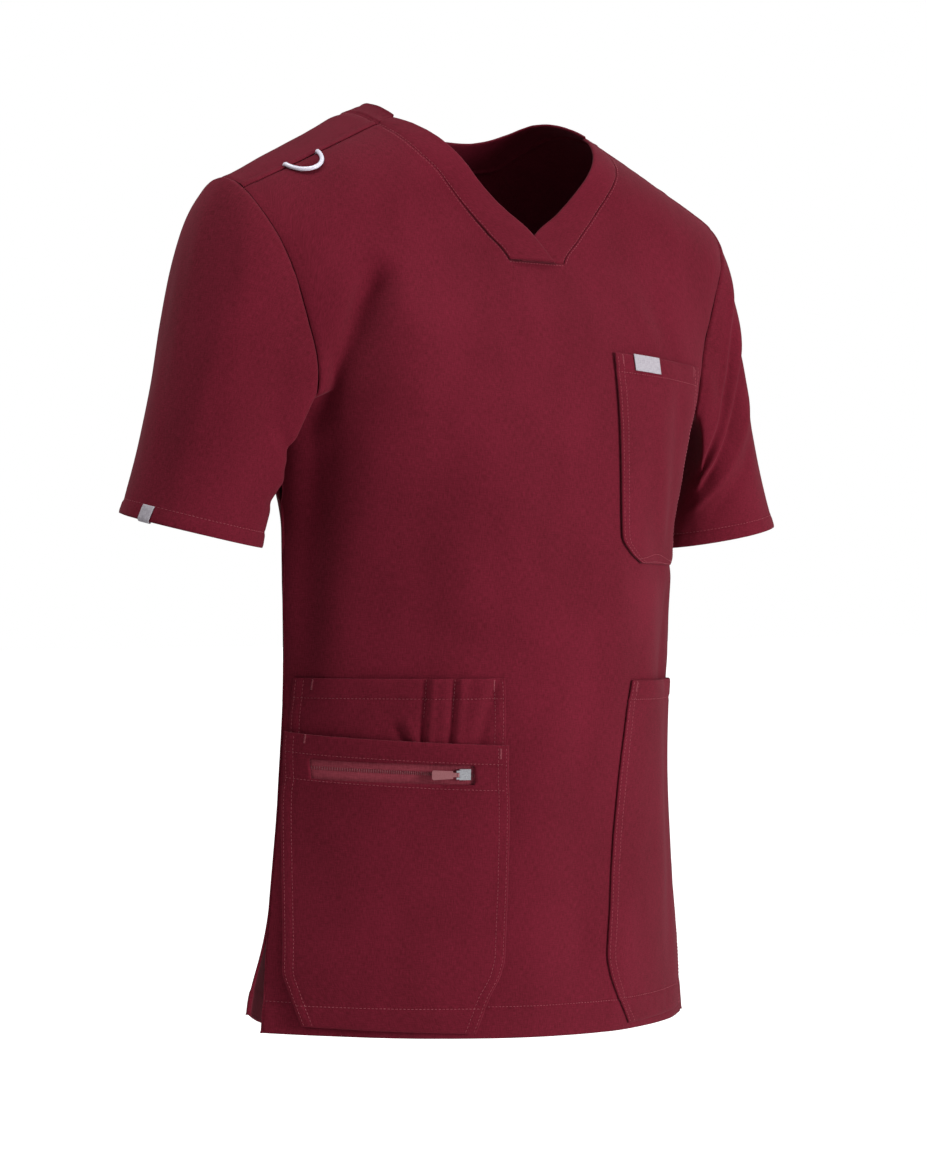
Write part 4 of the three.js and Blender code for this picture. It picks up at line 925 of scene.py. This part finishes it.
teeth = coil()
bm = bmesh.new()
bm.from_mesh(teeth.data)
bmesh.ops.recalc_face_normals(bm, faces=bm.faces)
bm.to_mesh(teeth.data)
bm.free()


# ---------------------------------------------------------------- ring and tag
def shoulder_ring():
    x, h, width, depth, wire, gap = 186, 31, 31, 24, 3.4, 0.4
    centre, out = form(-x, h), form_normal(-x, h)
    across = form(-x + 1, h) - form(-x - 1, h)
    across = unit(across - out * across.dot(out))
    down = unit(np.cross(across, out))
    middle = centre + out * (wire / 2 + gap)
    seam_h, past = 26, 3  # where the shoulder seam runs there, and how far past it the bar is stitched
    bar = wire / 2 - (h - seam_h + past)
    turns = np.linspace(0, math.pi, 49)
    path = [middle + across * width / 2 * math.cos(a) + down * (bar + (depth - wire) * math.sin(a))
            for a in turns]
    for u in np.linspace(-1, 1, 9):
        edge = (width / 2 - 2.5 * (1 - abs(u) ** 6 * 0.4)) * u
        path.append(middle + across * edge + down * (bar - 2.5))
    path = np.array(path)
    past_seam = smooth((-4.2 - (path - middle) @ down) / 3.2)
    path = path - out * (past_seam * 4.6)[:, None]
    sides = 20
    ahead = unit(np.roll(path, -1, 0) - np.roll(path, 1, 0))
    aside = unit(np.cross(ahead, out))
    angle = np.linspace(0, 2 * math.pi, sides + 1)[:-1]
    cosine, sine = (f(angle)[None, :, None] for f in (np.cos, np.sin))
    ring = path[:, None] + wire / 2 * (cosine * aside[:, None] + sine * out)
    count = len(path)
    faces = [[i * sides + k, (i + 1) % count * sides + k, (i + 1) % count * sides + (k + 1) % sides,
              i * sides + (k + 1) % sides] for i in range(count) for k in range(sides)]
    return new_object("ring", mesh_from("ring", ring.reshape(-1, 3), np.array(faces)), ring_plastic)


ring = shoulder_ring()


def cuff_tag():
    """A blank tag folded over the hem of the right sleeve, near its outer edge."""
    p, n = sleeves[-1]["p"], sleeves[-1]["n"]
    turn, width, height, gap = math.pi - math.radians(22), 11, 12, 0.55
    steps = np.linspace(-0.5, 0.5, 9)
    columns = (turn + steps * width / CUFF_ACROSS) / (2 * math.pi) * (p.shape[1] - 1)
    _, up = arc_lengths(p)
    rows = []
    for d in np.linspace(height, 0.3, 12):
        r = np.array([np.interp(d, up[:, int(c)], np.arange(len(up))) for c in columns])
        rows.append(sample(p, r, columns) + sample(n, r, columns) * (gap + 0.5 + 0.25 * smooth((3 - d) / 3)))
    edge = sample(p, np.zeros(len(columns)), columns)
    out = unit(sample(n, np.zeros(len(columns)), columns))
    down = unit(edge - sample(p, np.full(len(columns), 6.0), columns))
    for a in np.linspace(0.15, math.pi - 0.15, 7):
        rows.append(edge - out * HEM_PLY / 2
                    + (out * math.cos(a) * (HEM_PLY / 2 + gap + 0.6) + down * math.sin(a) * 1.6))
    for d in np.linspace(0.3, height, 10):
        rows.append(edge - down * d - out * (HEM_PLY + gap + 0.3))
    grid = np.array(rows)
    normal = grid_normals(grid)
    if np.sum(normal[3, 4] * out[4]) < 0:
        normal = -normal
    return shell("tag", grid, normal, 0.5, label_cloth)


tag = cuff_tag()

# ---------------------------------------------------------------- thread
stitching = new_object("stitching", mesh_from("stitching", np.concatenate(thread["points"]),
                                              np.concatenate(thread["faces"])), thread_cloth)
uv_layer = stitching.data.uv_layers.new(name="cloth")
corner = np.empty(len(stitching.data.loops), np.int32)
stitching.data.loops.foreach_get("vertex_index", corner)
places = np.concatenate(thread["points"])[corner] / 1000
uv_layer.data.foreach_set("uv", np.stack([places[:, 0] + places[:, 1], places[:, 2]], 1).ravel())

# ---------------------------------------------------------------- hard CAD pieces carried over
for name, material in (("zip_slider", silver), ("zip_pull", tab_plastic)):
    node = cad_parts[name]
    node.data.materials.clear()
    node.data.materials.append(material)
    bevel = node.modifiers.new("bevel", "BEVEL")
    bevel.width, bevel.segments, bevel.limit_method = 0.0003, 2, "ANGLE"

# ---------------------------------------------------------------- what stands for what
stands_for = {"front_panel": front["obj"], "back_panel": back["obj"], "sleeve_right": sleeves[-1]["obj"],
              "sleeve_left": sleeves[1]["obj"],
              "neck_band_right": bands[0]["obj"], "neck_band_left": bands[1]["obj"],
              "neck_band_back": bands[2]["obj"], "pen_pocket": pen["obj"], "zip_pocket": zip_patch["obj"],
              "zip_tape": tape["obj"], "hip_pocket_left": hip["obj"], "chest_pocket": chest["obj"],
              "chest_label": label["obj"], "shoulder_ring": ring, "sleeve_tag": tag}
HELD = dict.fromkeys(("front_panel", "back_panel", "sleeve_right", "sleeve_left"), "hung")
for node, obj in stands_for.items():
    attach(obj, "top")
    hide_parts(node)
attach(stitching, "top")
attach(teeth, "top")

# ---------------------------------------------------------------- floor, light and camera
AZ = math.radians(-36)
FLOOR_Z, FLOOR_HALF, DISTANCE, AMBIENT, SENSOR = -1.25, 30, 2.4, 0.29, 36
PIXELS_PER_MM, PICTURE_HEIGHT = 1.21, 1159
right = Vector((math.cos(AZ), math.sin(AZ), 0))
aim = right * -0.009 + Vector((0, 0, -0.372))
toward_camera = Vector((math.sin(AZ), -math.cos(AZ), 0))

floor_mesh = bpy.data.meshes.new("floor")
corners = [(FLOOR_HALF * x, FLOOR_HALF * y, FLOOR_Z) for x, y in ((-1, -1), (1, -1), (1, 1), (-1, 1))]
floor_mesh.from_pydata(corners, [], [(0, 1, 2, 3)])
floor_material, nodes, links, shader = new_material("floor")
set_inputs(shader, {"Base Color": (0.95, 0.95, 0.95, 1), "Roughness": 0.9, "Emission Color": (1, 1, 1, 1)})
links.new(new_node(nodes, "LightPath").outputs["Is Camera Ray"], shader.inputs["Emission Strength"])
floor = new_object("floor", floor_mesh, floor_material)

world = bpy.data.worlds.new("world")
world.use_nodes = True
nodes, links = world.node_tree.nodes, world.node_tree.links
nodes["Background"].inputs["Color"].default_value = (1, 1, 1, 1)
strength = new_node(nodes, "MapRange", {"To Min": AMBIENT})
links.new(new_node(nodes, "LightPath").outputs["Is Camera Ray"], strength.inputs["Value"])
links.new(strength.outputs["Result"], nodes["Background"].inputs["Strength"])
bpy.context.scene.world = world


def area_light(name, across, ahead, up, size, power):
    """A soft light placed from the camera's side: across to its right, ahead towards it."""
    data = bpy.data.lights.new(name, "AREA")
    data.shape, data.size, data.energy = "DISK", size, power
    light = bpy.data.objects.new(name, data)
    bpy.context.scene.collection.objects.link(light)
    middle = Vector((0, 0, -0.37))
    light.location = middle + right * across + toward_camera * ahead + Vector((0, 0, up))
    light.rotation_euler = (middle - light.location).to_track_quat("-Z", "Y").to_euler()


area_light("right", 2.2, 1.2, 0.2, 1.1, 62)
area_light("left", -1.3, 0.9, 2.0, 0.8, 27)
area_light("top", 0.1, 0.5, 2.3, 1.0, 22)

camera_data = bpy.data.cameras.new("camera")
camera_data.sensor_width = SENSOR
camera_data.sensor_fit = "AUTO"
camera_data.lens = PIXELS_PER_MM * (DISTANCE * 1000) / PICTURE_HEIGHT * SENSOR
camera_data.clip_end = 100
camera = bpy.data.objects.new("camera", camera_data)
bpy.context.scene.collection.objects.link(camera)
camera.location = aim + toward_camera * DISTANCE
camera.rotation_euler = (-toward_camera).to_track_quat("-Z", "Y").to_euler()
bpy.context.scene.camera = camera
bpy.context.scene.view_settings.view_transform = "Standard"
